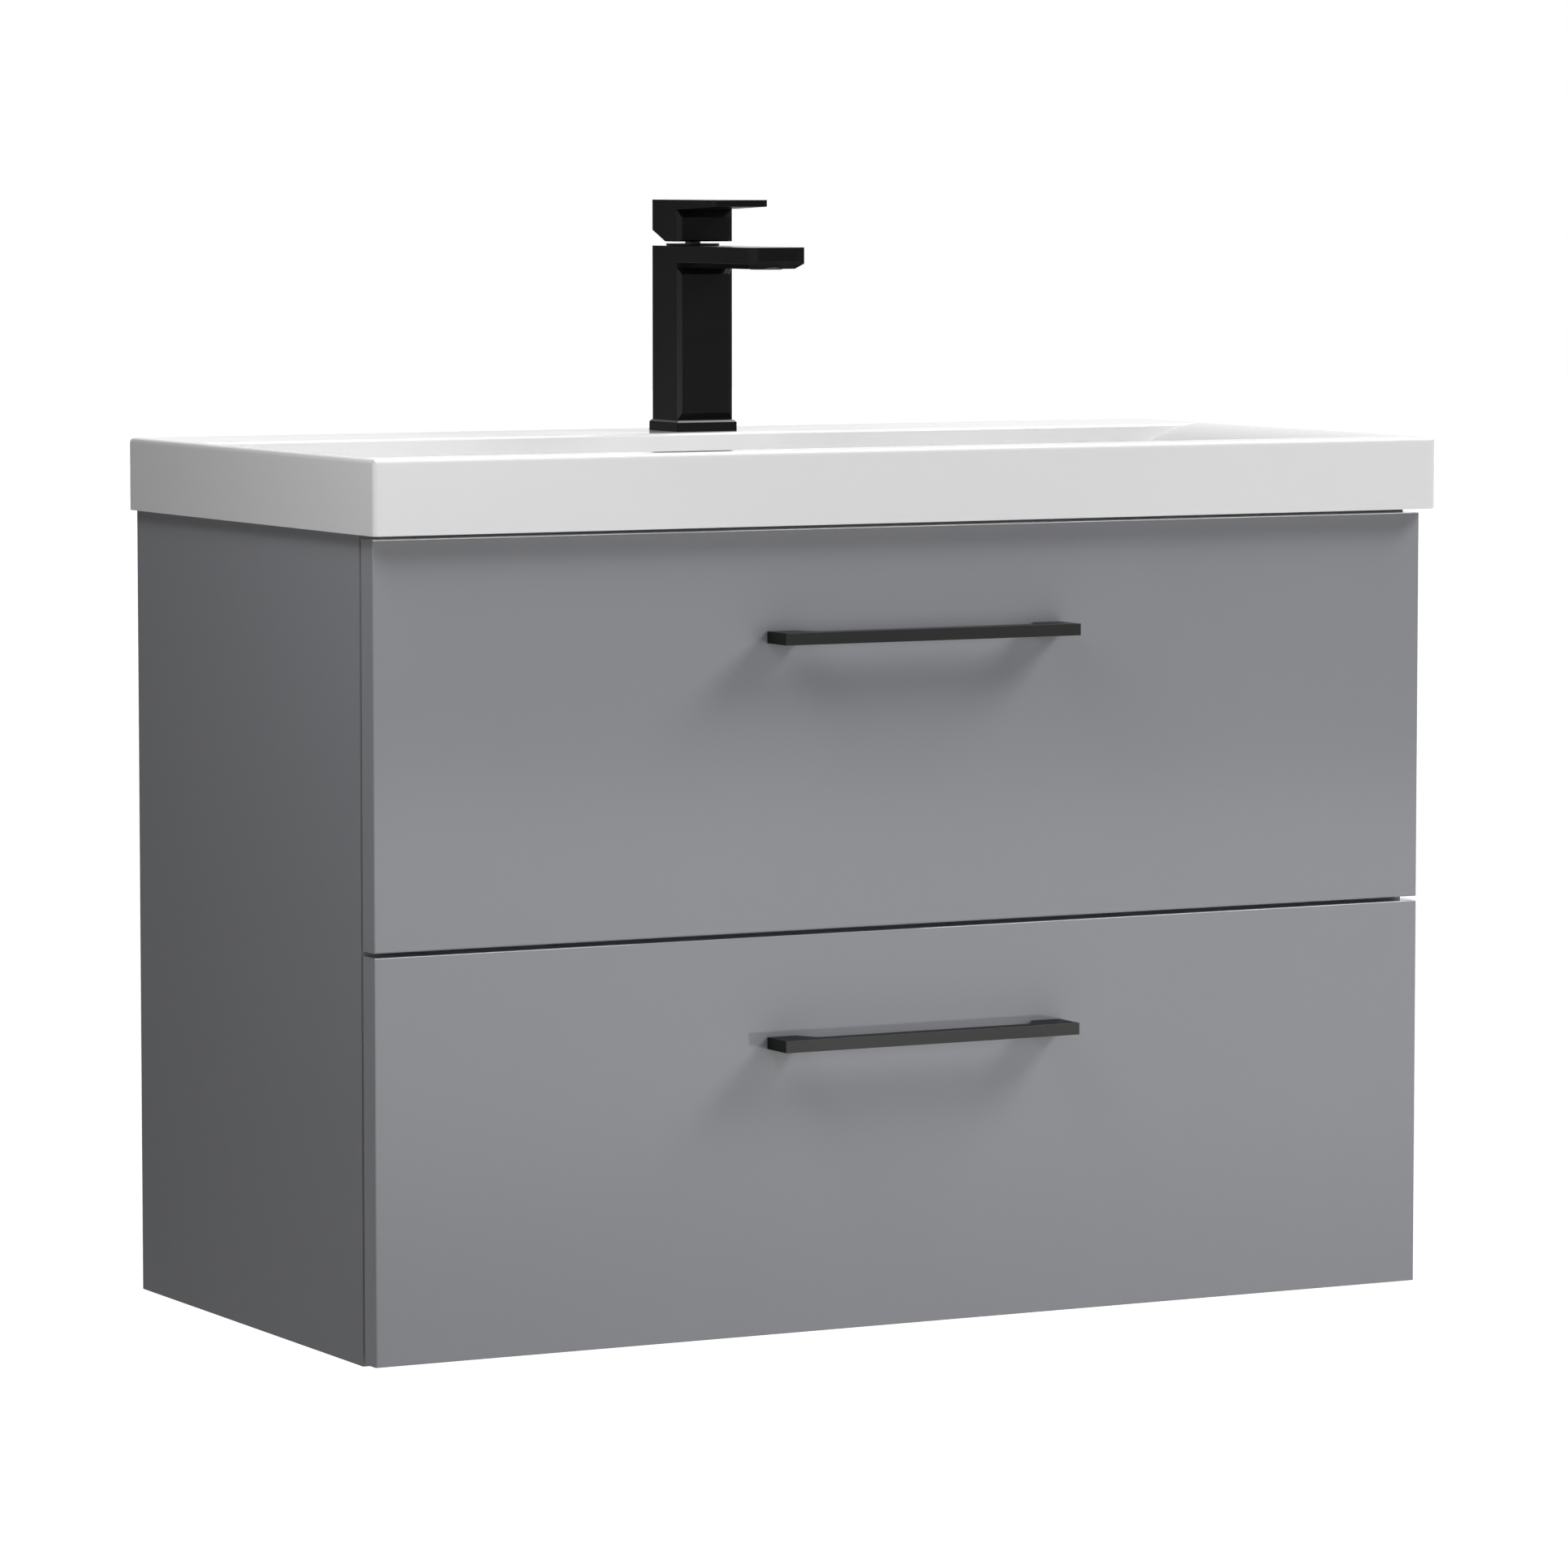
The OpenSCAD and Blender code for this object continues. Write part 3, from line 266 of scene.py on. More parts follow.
@dataclass(frozen=True)
class Finish:
    """A surface, from which each kind of finish takes its shader.

    Attributes:
        name: the material's name.
        colour: its linear base colour.
        roughness: the roughness that it varies round.
    """

    name: str
    colour: Colour
    roughness: float

    def start(self) -> tuple[Material, Graph, Node]:
        """Makes the material with only its Principled shader.

        Returns:
            The material, its graph and the shader.
        """
        material = bpy.data.materials.new(self.name)
        material.use_nodes = True
        return material, Graph(material.node_tree), material.node_tree.nodes["Principled BSDF"]

    def toned(
        self, graph: Graph, amount: float, scale: float, colour: Colour | Socket | None = None
    ) -> Socket:
        """Places the mottle on a colour, which is the finish's own if none is given."""
        inputs = {"Colour": colour or self.colour, "Amount": amount, "Scale": scale}
        return shared(graph, MOTTLE, inputs)["Colour"]

    def worn(
        self, graph: Graph, mask: Socket, swing: float, low: float = 0.3, high: float = 0.7
    ) -> Socket:
        """Varies the roughness with a mask.

        Args:
            graph: the material's tree.
            mask: the value that the roughness follows.
            swing: how far it goes below and above the finish's own, as a share of it.
            low: the mask's value where it is lowest.
            high: the mask's value where it is highest.

        Returns:
            The roughness.
        """
        return graph.remap(mask, low, high, self.roughness * (1 - swing), self.roughness * (1 + swing))

    def build(self) -> Material:
        """Makes the whole material.

        Returns:
            The material.
        """
        raise NotImplementedError(self.name)


def shared(graph: Graph, tree: Tree, inputs: dict[str, object]) -> bpy.types.bpy_prop_collection:
    """Places a shared effect with values of its own and returns its outputs."""
    node = graph.node("ShaderNodeGroup", node_tree=tree)
    for label, value in inputs.items():
        graph.feed(node.inputs[label], value)
    return node.outputs


def bump(graph: Graph, height: Socket, distance: float) -> Socket:
    """Turns a height, of which 1 stands for a distance in metres, into a normal and returns it."""
    inputs = {"Strength": 1.0, "Distance": distance, "Height": height}
    return graph.node("ShaderNodeBump", inputs).outputs[0]


@dataclass(frozen=True)
class Lacquer(Finish):
    """A smooth skin with a sheen: foil on board, powder coat, chrome, rubber or moulded plastic.

    Attributes:
        specular: the strength of its sheen.
        coat: the weight of a clear, sharper layer over it.
        coat_roughness: the roughness of that layer.
        coat_ior: how strongly that layer mirrors.
        mottle: how much its tone varies.
        wave: the height of its long waves, in metres.
        wave_scale: the waves' frequency.
        ripple_share: how much fine ripple lies on the waves.
        metallic: 1 for a metal.
        edge_tint: how much a metal brightens where it is seen edge on, 1 for fully.
    """

    specular: float = 0.5
    coat: float = 0.0
    coat_roughness: float = 0.08
    coat_ior: float = 1.5
    mottle: float = 0.02
    wave: float = 0.0001
    wave_scale: float = 7.0
    ripple_share: float = 0.1
    metallic: float = 0.0
    edge_tint: float = 1.0

    def build(self) -> Material:
        """Makes the lacquer.

        Returns:
            The material.
        """
        material, graph, shader = self.start()
        skin = shared(graph, RIPPLE, {"Wave Scale": self.wave_scale, "Ripple Share": self.ripple_share})
        graph.feed(shader.inputs["Base Color"], self.toned(graph, self.mottle, self.wave_scale))
        graph.feed(shader.inputs["Roughness"], self.worn(graph, skin["Waves"], 0.1))
        graph.feed(shader.inputs["Normal"], bump(graph, skin["Height"], self.wave))
        shader.inputs["Specular IOR Level"].default_value = self.specular
        shader.inputs["Coat Weight"].default_value = self.coat
        shader.inputs["Coat Roughness"].default_value = self.coat_roughness
        shader.inputs["Coat IOR"].default_value = self.coat_ior
        shader.inputs["Metallic"].default_value = self.metallic
        shader.inputs["Specular Tint"].default_value = (self.edge_tint,) * 3 + (1.0,)
        return material


@dataclass(frozen=True)
class FacedBoard(Finish):
    """Board with a thin printed face, which has a fine pearl in its skin.

    Attributes:
        pearl: the height of the pearl, in metres.
        pearl_scale: its frequency.
        wave_scale: the frequency of the long waves and of the mottle.
        mottle: how much its tone varies.
        specular: the strength of its sheen.
    """

    pearl: float = 0.00002
    pearl_scale: float = 1400.0
    wave_scale: float = 14.0
    mottle: float = 0.03
    specular: float = 0.4

    def build(self) -> Material:
        """Makes the faced board.

        Returns:
            The material.
        """
        material, graph, shader = self.start()
        waves = {"Wave Scale": self.wave_scale, "Ripple Scale": self.pearl_scale, "Ripple Share": 1.0}
        skin = shared(graph, RIPPLE, waves)
        graph.feed(shader.inputs["Base Color"], self.toned(graph, self.mottle, self.wave_scale))
        graph.feed(shader.inputs["Roughness"], self.worn(graph, skin["Waves"], 0.1))
        graph.feed(shader.inputs["Normal"], bump(graph, skin["Height"], self.pearl))
        shader.inputs["Specular IOR Level"].default_value = self.specular
        return material


@dataclass(frozen=True)
class Glaze(Finish):
    """White glazed ceramic, left bare and rough underneath and at the back.

    Attributes:
        mottle: how much the glaze's tone varies.
        bare: the linear colour of the unglazed ceramic.
        bare_mottle: how much its tone varies, and how often.
        bare_rough: how much rougher than the glaze it is.
        under: the z of the normal where the bare underside starts, and where it is full.
        behind: the y of the normal where a face starts to turn to the wall, and where it does.
        back: the y of the place where the face at the wall starts, and where it is full.
        wave: the height of the long waves, in metres.
        wave_scale: the frequency of the long waves and of the glaze's mottle.
        ripple_scale: the frequency of the fine ripple.
        ripple_share: how much fine ripple lies on the waves.
        specular: the strength of its sheen.
    """

    mottle: float = 0.01
    bare: Colour = (0.7, 0.66, 0.6, 1.0)
    bare_mottle: tuple[float, float] = (0.08, 40.0)
    bare_rough: float = 0.6
    under: tuple[float, float] = (-0.5, -0.8)
    behind: tuple[float, float] = (0.9, 0.99)
    back: tuple[float, float] = (-0.004, -0.001)
    wave: float = 0.0002
    wave_scale: float = 5.0
    ripple_scale: float = 90.0
    ripple_share: float = 0.06
    specular: float = 0.6

    def build(self) -> Material:
        """Makes the glaze and the bare body.

        Returns:
            The material.
        """
        material, graph, shader = self.start()
        waves = {
            "Wave Scale": self.wave_scale,
            "Ripple Scale": self.ripple_scale,
            "Ripple Share": self.ripple_share,
        }
        skin = shared(graph, RIPPLE, waves)
        facing = graph.node("ShaderNodeNewGeometry").outputs["True Normal"]
        turned = graph.node("ShaderNodeSeparateXYZ", {0: facing}).outputs
        under = graph.remap(turned["Z"], *self.under)
        behind = graph.remap(turned["Y"], *self.behind)
        place = graph.node("ShaderNodeTexCoord").outputs["Object"]
        depth = graph.node("ShaderNodeSeparateXYZ", {0: place}).outputs["Y"]
        against_wall = graph.remap(depth, *self.back)
        unglazed = graph.maths("MAXIMUM", under, graph.maths("MULTIPLY", behind, against_wall))
        glazed = self.toned(graph, self.mottle, self.wave_scale)
        body = self.toned(graph, *self.bare_mottle, self.bare)
        graph.feed(shader.inputs["Base Color"], graph.blend(unglazed, glazed, body))
        added = graph.maths("MULTIPLY", unglazed, self.bare_rough)
        rough = graph.maths("ADD", self.worn(graph, skin["Waves"], 0.2), added)
        graph.feed(shader.inputs["Roughness"], rough)
        graph.feed(shader.inputs["Normal"], bump(graph, skin["Height"], self.wave))
        shader.inputs["Specular IOR Level"].default_value = self.specular
        return material


@dataclass(frozen=True)
class Streaked(Finish):
    """Metal or wood with fine lines along one direction.

    Attributes:
        other: the linear colour of the lines.
        along: how often the pattern changes along x, y and z, in changes a metre.
        relief: the height of the lines, in metres.
        metallic: 1 for a metal.
        mottle: how much its tone varies.
        mottle_scale: how often it varies.
    """

    other: Colour = (0.5, 0.5, 0.5, 1.0)
    along: tuple[float, float, float] = (4.0, 4.0, 900.0)
    relief: float = 0.00002
    metallic: float = 1.0
    mottle: float = 0.08
    mottle_scale: float = 25.0

    def build(self) -> Material:
        """Makes the lined surface.

        Returns:
            The material.
        """
        material, graph, shader = self.start()
        lines = shared(graph, STREAKS, dict(zip(("Along X", "Along Y", "Along Z"), self.along)))
        colour = graph.blend(lines["Streaks"], self.colour, self.other)
        toned = self.toned(graph, self.mottle, self.mottle_scale, colour)
        graph.feed(shader.inputs["Base Color"], toned)
        graph.feed(shader.inputs["Roughness"], self.worn(graph, lines["Streaks"], 0.2, 0.0, 1.0))
        graph.feed(shader.inputs["Normal"], bump(graph, lines["Height"], self.relief))
        shader.inputs["Metallic"].default_value = self.metallic
        return material


CABINET_GREY = linear(152, 153, 158)


@dataclass(frozen=True)
class Palette:
    """Every finish of the unit."""

    front: Finish = Lacquer(
        "gloss_grey_front", CABINET_GREY, 0.42, specular=0.3, coat=1.0, coat_ior=1.6, wave=0.00004
    )
    carcass: Finish = Lacquer(
        "gloss_grey_board", CABINET_GREY, 0.42, specular=0.3, coat=0.15, wave=0.00004
    )
    box: Finish = FacedBoard("white_box_board", linear(236, 236, 233), 0.45)
    ceramic: Finish = Glaze("white_glaze", linear(246, 246, 246), 0.12)
    handle: Finish = Lacquer(
        "black_bar_coat", linear(77, 78, 77), 0.2, wave=0.00001, metallic=1.0, edge_tint=0.35
    )
    tap: Finish = Lacquer("black_tap_coat", linear(16, 16, 16), 0.14, specular=0.5, wave=0.00001)
    chrome: Finish = Lacquer("bright_chrome", linear(225, 226, 228), 0.06, metallic=1.0, wave=0.00002)
    zinc: Finish = Streaked("rolled_zinc", linear(190, 193, 196), 0.4, other=linear(168, 171, 176))
    screw: Finish = Streaked("plated_screw", linear(205, 205, 200), 0.2, other=linear(170, 170, 165))
    brass: Finish = Streaked("turned_brass", linear(205, 170, 95), 0.2, other=linear(180, 145, 75))
    beech: Finish = Streaked(
        "beech_dowel",
        linear(214, 178, 132),
        0.6,
        other=linear(186, 146, 100),
        metallic=0.0,
        along=(60.0, 900.0, 900.0),
    )
    rubber: Finish = Lacquer("black_rubber", linear(34, 34, 34), 0.7, specular=0.3, ripple_share=1.0)
    nut: Finish = Lacquer("grey_nut", linear(120, 120, 122), 0.5, specular=0.4, ripple_share=0.6)
    cartridge: Finish = Lacquer("cartridge_plastic", linear(225, 222, 214), 0.4, specular=0.4)
    pad: Finish = Lacquer("soft_pad", linear(214, 214, 214), 0.35, specular=0.5)


# The record's slot, and the finish in the palette that it takes.
SLOTS = {
    "gloss_grey_front": "front",
    "grey_board": "carcass",
    "white_board": "box",
    "white_ceramic": "ceramic",
    "black_handle": "handle",
    "black_tap": "tap",
    "chrome": "chrome",
    "zinc_steel": "zinc",
    "brass": "brass",
    "beech": "beech",
    "black_rubber": "rubber",
    "grey_plastic": "nut",
    "cartridge_plastic": "cartridge",
    "clear_pad": "pad",
}


class Finishes:
    """The palette as materials."""

    def __init__(self, palette: Palette) -> None:
        """Builds every finish once.

        Args:
            palette: the unit's finishes.
        """
        self.made = {key: getattr(palette, key).build() for key in vars(palette)}

    def __getitem__(self, key: str) -> Material:
        """Returns the material of one finish."""
        return self.made[key]

    def dress(self, node: str, key: str) -> None:
        """Gives a CAD node one finish all over."""
        for slot in frame["nodes"][node].material_slots:
            slot.material = self.made[key]


# ---- Pieces ----


def use_only(mesh: bpy.types.Mesh, material: Material) -> None:
    """Leaves a mesh with one material on all its faces."""
    mesh.materials.clear()
    mesh.materials.append(material)
    mesh.polygons.foreach_set("material_index", [0] * len(mesh.polygons))


def add_piece(name: str, mesh: bpy.types.Mesh, body: str) -> Piece:
    """Puts a finished mesh in the scene as a piece that rides on a body.

    Args:
        name: the piece's name.
        mesh: its mesh, in the row frame.
        body: the body that it moves with.

    Returns:
        The piece.
    """
    piece = bpy.data.objects.new(name, mesh)
    bpy.context.scene.collection.objects.link(piece)
    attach(piece, body)
    LOG.info("%s rides on %s with %d faces", name, body, len(mesh.polygons))
    return piece


def body_of(node: str) -> str:
    """Finds the body that a CAD node belongs to."""
    bodies = frame["record"]["behaviour"]["bodies"]
    return next(body for body, nodes in bodies.items() if node in nodes)


@dataclass
class EasedCopy:
    """A copy of a CAD node whose sharp edges are eased, which stands for the node.

    Attributes:
        node: the CAD node.
        slot: the record's slot of its finish; not used.
        width: the width of each eased edge, in metres.
        sharp: the least angle between faces that is eased, in degrees.
        flat: the greatest angle between triangles that are joined into one face.
        merge: the distance within which corners are joined.
        segments: the number of strips that round an edge.
    """

    node: str
    slot: str
    width: float
    sharp: float = 12.0
    flat: float = 0.3
    merge: float = 0.002 * MM
    segments: int = 2

    def build(self, material: Material) -> Piece:
        """Copies, merges and bevels the node.

        Args:
            material: the finish of the copy.

        Returns:
            The piece that stands for the node.
        """
        mesh = self.merged()
        source = bpy.data.objects.new(self.node + "_source", mesh)
        bpy.context.scene.collection.objects.link(source)
        ease = source.modifiers.new("ease", "BEVEL")
        ease.width = self.width
        ease.segments = self.segments
        ease.limit_method = "ANGLE"
        ease.angle_limit = math.radians(self.sharp)
        ease.face_strength_mode = "FSTR_ALL"
        ease.use_clamp_overlap = True
        flats = source.modifiers.new("flats", "WEIGHTED_NORMAL")
        flats.use_face_influence = True
        depsgraph = bpy.context.evaluated_depsgraph_get()
        eased = bpy.data.meshes.new_from_object(source.evaluated_get(depsgraph), depsgraph=depsgraph)
        bpy.data.objects.remove(source)
        use_only(eased, material)
        piece = add_piece(self.node + "_eased", eased, body_of(self.node))
        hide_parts(self.node)
        return piece

    def merged(self) -> bpy.types.Mesh:
        """Joins the node's loose triangles into flat faces.

        Returns:
            The joined mesh.
        """
        model = bmesh.new()
        model.from_mesh(frame["nodes"][self.node].data)
        bmesh.ops.remove_doubles(model, verts=model.verts, dist=self.merge)
        limit = math.radians(self.flat)
        bmesh.ops.dissolve_limit(
            model, angle_limit=limit, verts=model.verts, edges=model.edges, delimit={"NORMAL"}
        )
        for face in model.faces:
            face.smooth = True
        mesh = bpy.data.meshes.new(self.node + "_eased")
        model.to_mesh(mesh)
        model.free()
        return mesh


# ---- Fastenings ----


@dataclass(frozen=True)
class Head:
    """The head of one kind of fastening, as it shows on a surface.

    Attributes:
        radius: its radius on the surface, in metres.
        height: how far it stands proud.
        crown: the radius of its flat top.
        slot: the length, width and depth of the two slots that cross in it.
    """

    radius: float
    height: float
    crown: float
    slot: tuple[float, float, float]


@dataclass(frozen=True)
class Spot:
    """Where a fastening sits.

    Attributes:
        place: the middle of its head's underside.
        facing: the direction in which its head points.
    """

    place: tuple[float, float, float]
    facing: tuple[float, float, float]


class Fastenings:
    """Sets heads on surfaces, with one geometry tree for every kind of head."""

    sides = 28

    def __init__(self) -> None:
        """Builds the tree: a tapered disc, cut by two crossed slots, set on every point of a mesh."""
        tree = bpy.data.node_groups.new("fastening_heads", "GeometryNodeTree")
        sizes = ("Radius", "Height", "Crown", "Slot Length", "Slot Width", "Slot Depth")
        tree.interface.new_socket("Spots", in_out="INPUT", socket_type="NodeSocketGeometry")
        for label in sizes:
            tree.interface.new_socket(label, in_out="INPUT", socket_type="NodeSocketFloat")
        tree.interface.new_socket("Finish", in_out="INPUT", socket_type="NodeSocketMaterial")
        tree.interface.new_socket("Heads", in_out="OUTPUT", socket_type="NodeSocketGeometry")
        self.tree = tree
        self.graph = Graph(tree)
        self.given = self.graph.node("NodeGroupInput").outputs
        named = "GeometryNodeInputNamedAttribute"
        facing = self.graph.node(named, {"Name": "facing"}, data_type="FLOAT_VECTOR").outputs[0]
        turn = self.graph.node("FunctionNodeAlignRotationToVector", {"Vector": facing}, axis="Z")
        inputs = {"Points": self.given["Spots"], "Instance": self.head(), "Rotation": turn.outputs[0]}
        placed = self.graph.node("GeometryNodeInstanceOnPoints", inputs).outputs[0]
        real = self.graph.node("GeometryNodeRealizeInstances", {0: placed}).outputs[0]
        inputs = {"Geometry": real, "Material": self.given["Finish"]}
        dressed = self.graph.node("GeometryNodeSetMaterial", inputs).outputs[0]
        self.graph.node("NodeGroupOutput", {"Heads": dressed})

    def head(self) -> Socket:
        """Builds the nodes of a single head, with its underside at the origin.

        Returns:
            The head's geometry.
        """
        inputs = {
            "Vertices": self.sides,
            "Radius Top": self.given["Crown"],
            "Radius Bottom": self.given["Radius"],
            "Depth": self.given["Height"],
        }
        disc = self.graph.node("GeometryNodeMeshCone", inputs).outputs["Mesh"]
        depth = self.graph.maths("MULTIPLY", self.given["Slot Depth"], 2.0)
        inputs = {"X": self.given["Slot Length"], "Y": self.given["Slot Width"], "Z": depth}
        size = self.graph.node("ShaderNodeCombineXYZ", inputs).outputs[0]
        top = self.graph.node("ShaderNodeCombineXYZ", {"Z": self.given["Height"]}).outputs[0]
        bar = self.graph.node("GeometryNodeMeshCube", {"Size": size}).outputs["Mesh"]
        inputs = {"Geometry": bar, "Translation": top}
        slot = self.graph.node("GeometryNodeTransform", inputs).outputs[0]
        inputs = {"Geometry": slot, "Rotation": (0.0, 0.0, math.pi / 2)}
        crossing = self.graph.node("GeometryNodeTransform", inputs).outputs[0]
        cut = self.graph.node("GeometryNodeMeshBoolean", {"Mesh 1": disc}, operation="DIFFERENCE")
        for cutter in (slot, crossing):
            self.graph.feed(cut.inputs["Mesh 2"], cutter)
        return cut.outputs[0]

    def build(
        self, name: str, head: Head, spots: list[Spot], material: Material, body: str, slot: str
    ) -> Piece:
        """Sets one kind of head on some spots of one body, as one mesh.

        Args:
            name: the piece's name.
            head: the kind of head.
            spots: where the heads sit.
            material: their finish.
            body: the body that they move with.
            slot: the record's slot of their finish; not used.

        Returns:
            The piece.
        """
        points = bpy.data.meshes.new(name + "_spots")
        points.from_pydata([spot.place for spot in spots], [], [])
        facing = points.attributes.new("facing", "FLOAT_VECTOR", "POINT")
        facing.data.foreach_set("vector", [value for spot in spots for value in spot.facing])
        source = bpy.data.objects.new(name + "_spots", points)
        bpy.context.scene.collection.objects.link(source)
        maker = source.modifiers.new("heads", "NODES")
        maker.node_group = self.tree
        values = {
            "Radius": head.radius,
            "Height": head.height,
            "Crown": head.crown,
            "Slot Length": head.slot[0],
            "Slot Width": head.slot[1],
            "Slot Depth": head.slot[2],
            "Finish": material,
        }
        for item in self.tree.interface.items_tree:
            if item.name in values:
                maker[item.identifier] = values[item.name]
        depsgraph = bpy.context.evaluated_depsgraph_get()
        mesh = bpy.data.meshes.new_from_object(source.evaluated_get(depsgraph), depsgraph=depsgraph)
        source.modifiers.remove(maker)
        bpy.data.objects.remove(source)
        use_only(mesh, material)
        return add_piece(name, mesh, body)


# ---- Sub-assemblies ----


@dataclass
class Assembly:
    """A group of CAD nodes that belong together, with the pieces that are added to it.

    Attributes:
        finishes: the unit's materials.
        fastenings: the maker of its screw heads.
    """

    finishes: Finishes
    fastenings: Fastenings

    def nodes(self) -> tuple[str, ...]:
        """Names the group's nodes, or what their names start with."""
        raise NotImplementedError

    def add_pieces(self) -> None:
        """Adds the group's own pieces, if it has any."""

    def build(self) -> None:
        """Dresses the nodes, then adds the pieces."""
        for entry in frame["record"]["subparts"]:
            if entry["node"].startswith(self.nodes()):
                key = SLOTS[entry["material_slot"]]
                self.finishes.dress(entry["node"], key)
                LOG.info("%s is dressed in %s", entry["node"], key)
        self.add_pieces()

    def ease(self, node: str, key: str, slot: str, width: float) -> Piece:
        """Replaces a node with a copy whose edges are eased.

        Args:
            node: the node.
            key: the finish of the copy.
            slot: the record's slot of that finish; not used.
            width: the width of each eased edge.

        Returns:
            The copy.
        """
        return EasedCopy(node, slot, width).build(self.finishes[key])

    def fasten(
        self, name: str, head: Head, spots: list[Spot], body: str, slot: str = "zinc_steel"
    ) -> Piece:
        """Sets plated heads on some spots of one body.

        Args:
            name: the piece's name.
            head: the kind of head.
            spots: where they sit.
            body: the body that they move with.
            slot: the record's slot of their finish; not used.

        Returns:
            The piece.
        """
        return self.fastenings.build(name, head, spots, self.finishes["screw"], body, slot)


@dataclass
class Basin(Assembly):
    """The ceramic basin and the ring of its overflow."""

    def nodes(self) -> tuple[str, ...]:
        """Names the basin and its ring."""
        return "basin", "overflow_ring"

    def add_pieces(self) -> None:
        """Keeps the white of the basin out of the black tap's gloss."""
        frame["nodes"]["basin"].visible_glossy = False


@dataclass
class Waste(Assembly):
    """The basin waste with its plug."""

    def nodes(self) -> tuple[str, ...]:
        """Names the waste's nodes."""
        return ("waste_",)


@dataclass
class Carcass(Assembly):
    """The boards of the cabinet, held together by cam fittings.

    Attributes:
        cam: the disc of a cam, nearly flush with its board.
        cam_in: how far a cam sits from the cabinet's side panel.
        panel_cams: the places of the cams on the bottom panel, as shares of its depth.
    """

    cam: Head = Head(7.5 * MM, 0.3 * MM, 7.2 * MM, (9.0 * MM, 1.4 * MM, 0.25 * MM))
    cam_in: float = 34.0 * MM
    panel_cams: tuple[float, float] = (0.1, 0.86)

    def nodes(self) -> tuple[str, ...]:
        """Names the boards, dowels and pads."""
        rails = "front_rail", "middle_rail", "hanger_rail", "lower_rail"
        return "side_panel_", "bottom_panel", "carcass_dowels", "bumper_pads", *rails

    def add_pieces(self) -> None:
        """Sets the cams in the faces that look into the cabinet."""
        spots = []
        for side in Side:
            low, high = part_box("bottom_panel")
            x = side.value * (high[0] - self.cam_in)
            for share in self.panel_cams:
                spots.append(Spot((x, low[1] + share * (high[1] - low[1]), high[2]), (0.0, 0.0, 1.0)))
            for rail in ("front_rail", "middle_rail"):
                low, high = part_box(rail)
                spots.append(Spot((x, high[1], (low[2] + high[2]) / 2), (0.0, 1.0, 0.0)))
            for rail in ("hanger_rail", "lower_rail"):
                low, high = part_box(rail)
                spots.append(Spot((x, low[1], (low[2] + high[2]) / 2), (0.0, -1.0, 0.0)))
        self.fasten("carcass_cams", self.cam, spots, "cabinet")


@dataclass
class WallFixing(Assembly):
    """The hangers in the cabinet's upper corners and the plates on the wall.

    Attributes:
        screw: the head of a screw through a wall plate.
        screw_in: how far those screws sit from the cabinet's side panel.
        screw_rises: their heights above the plate's foot.
        plate: the plate's thickness.
        adjuster: the head of a hanger's adjusting screw.
        adjuster_in: how far the adjusters sit from the side panel.
        adjuster_rises: their heights above the hanger's foot.
        socket_depth: how deep their sockets are.
    """

    screw: Head = Head(5.5 * MM, 1.9 * MM, 3.6 * MM, (6.0 * MM, 1.2 * MM, 1.4 * MM))
    screw_in: float = 35.0 * MM
    screw_rises: tuple[float, float] = (9.0 * MM, 41.0 * MM)
    plate: float = 2.5 * MM
    adjuster: Head = Head(3.2 * MM, 4.6 * MM, 3.0 * MM, (4.6 * MM, 1.0 * MM, 2.0 * MM))
    adjuster_in: float = 9.0 * MM
    adjuster_rises: tuple[float, float] = (12.0 * MM, 38.0 * MM)
    socket_depth: float = 6.0 * MM

    def nodes(self) -> tuple[str, ...]:
        """Names the hangers and the plates."""
        return "cabinet_hangers", "wall_plates"

    def add_pieces(self) -> None:
        """Sets the screws in the plates and in the hangers."""
        room = (0.0, -1.0, 0.0)
        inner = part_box("cabinet_hangers")[1][0]
        low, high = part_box("wall_plates")
        screws = [
            Spot((side.value * (inner - self.screw_in), high[1] - self.plate, low[2] + rise), room)
            for side in Side
            for rise in self.screw_rises
        ]
        self.fasten("wall_screws", self.screw, screws, "cabinet")
        low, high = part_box("cabinet_hangers")
        depth = low[1] + self.socket_depth
        adjusters = [
            Spot((side.value * (inner - self.adjuster_in), depth, low[2] + rise), room)
            for side in Side
            for rise in self.adjuster_rises
        ]
        self.fasten("hanger_adjusters", self.adjuster, adjusters, "cabinet")


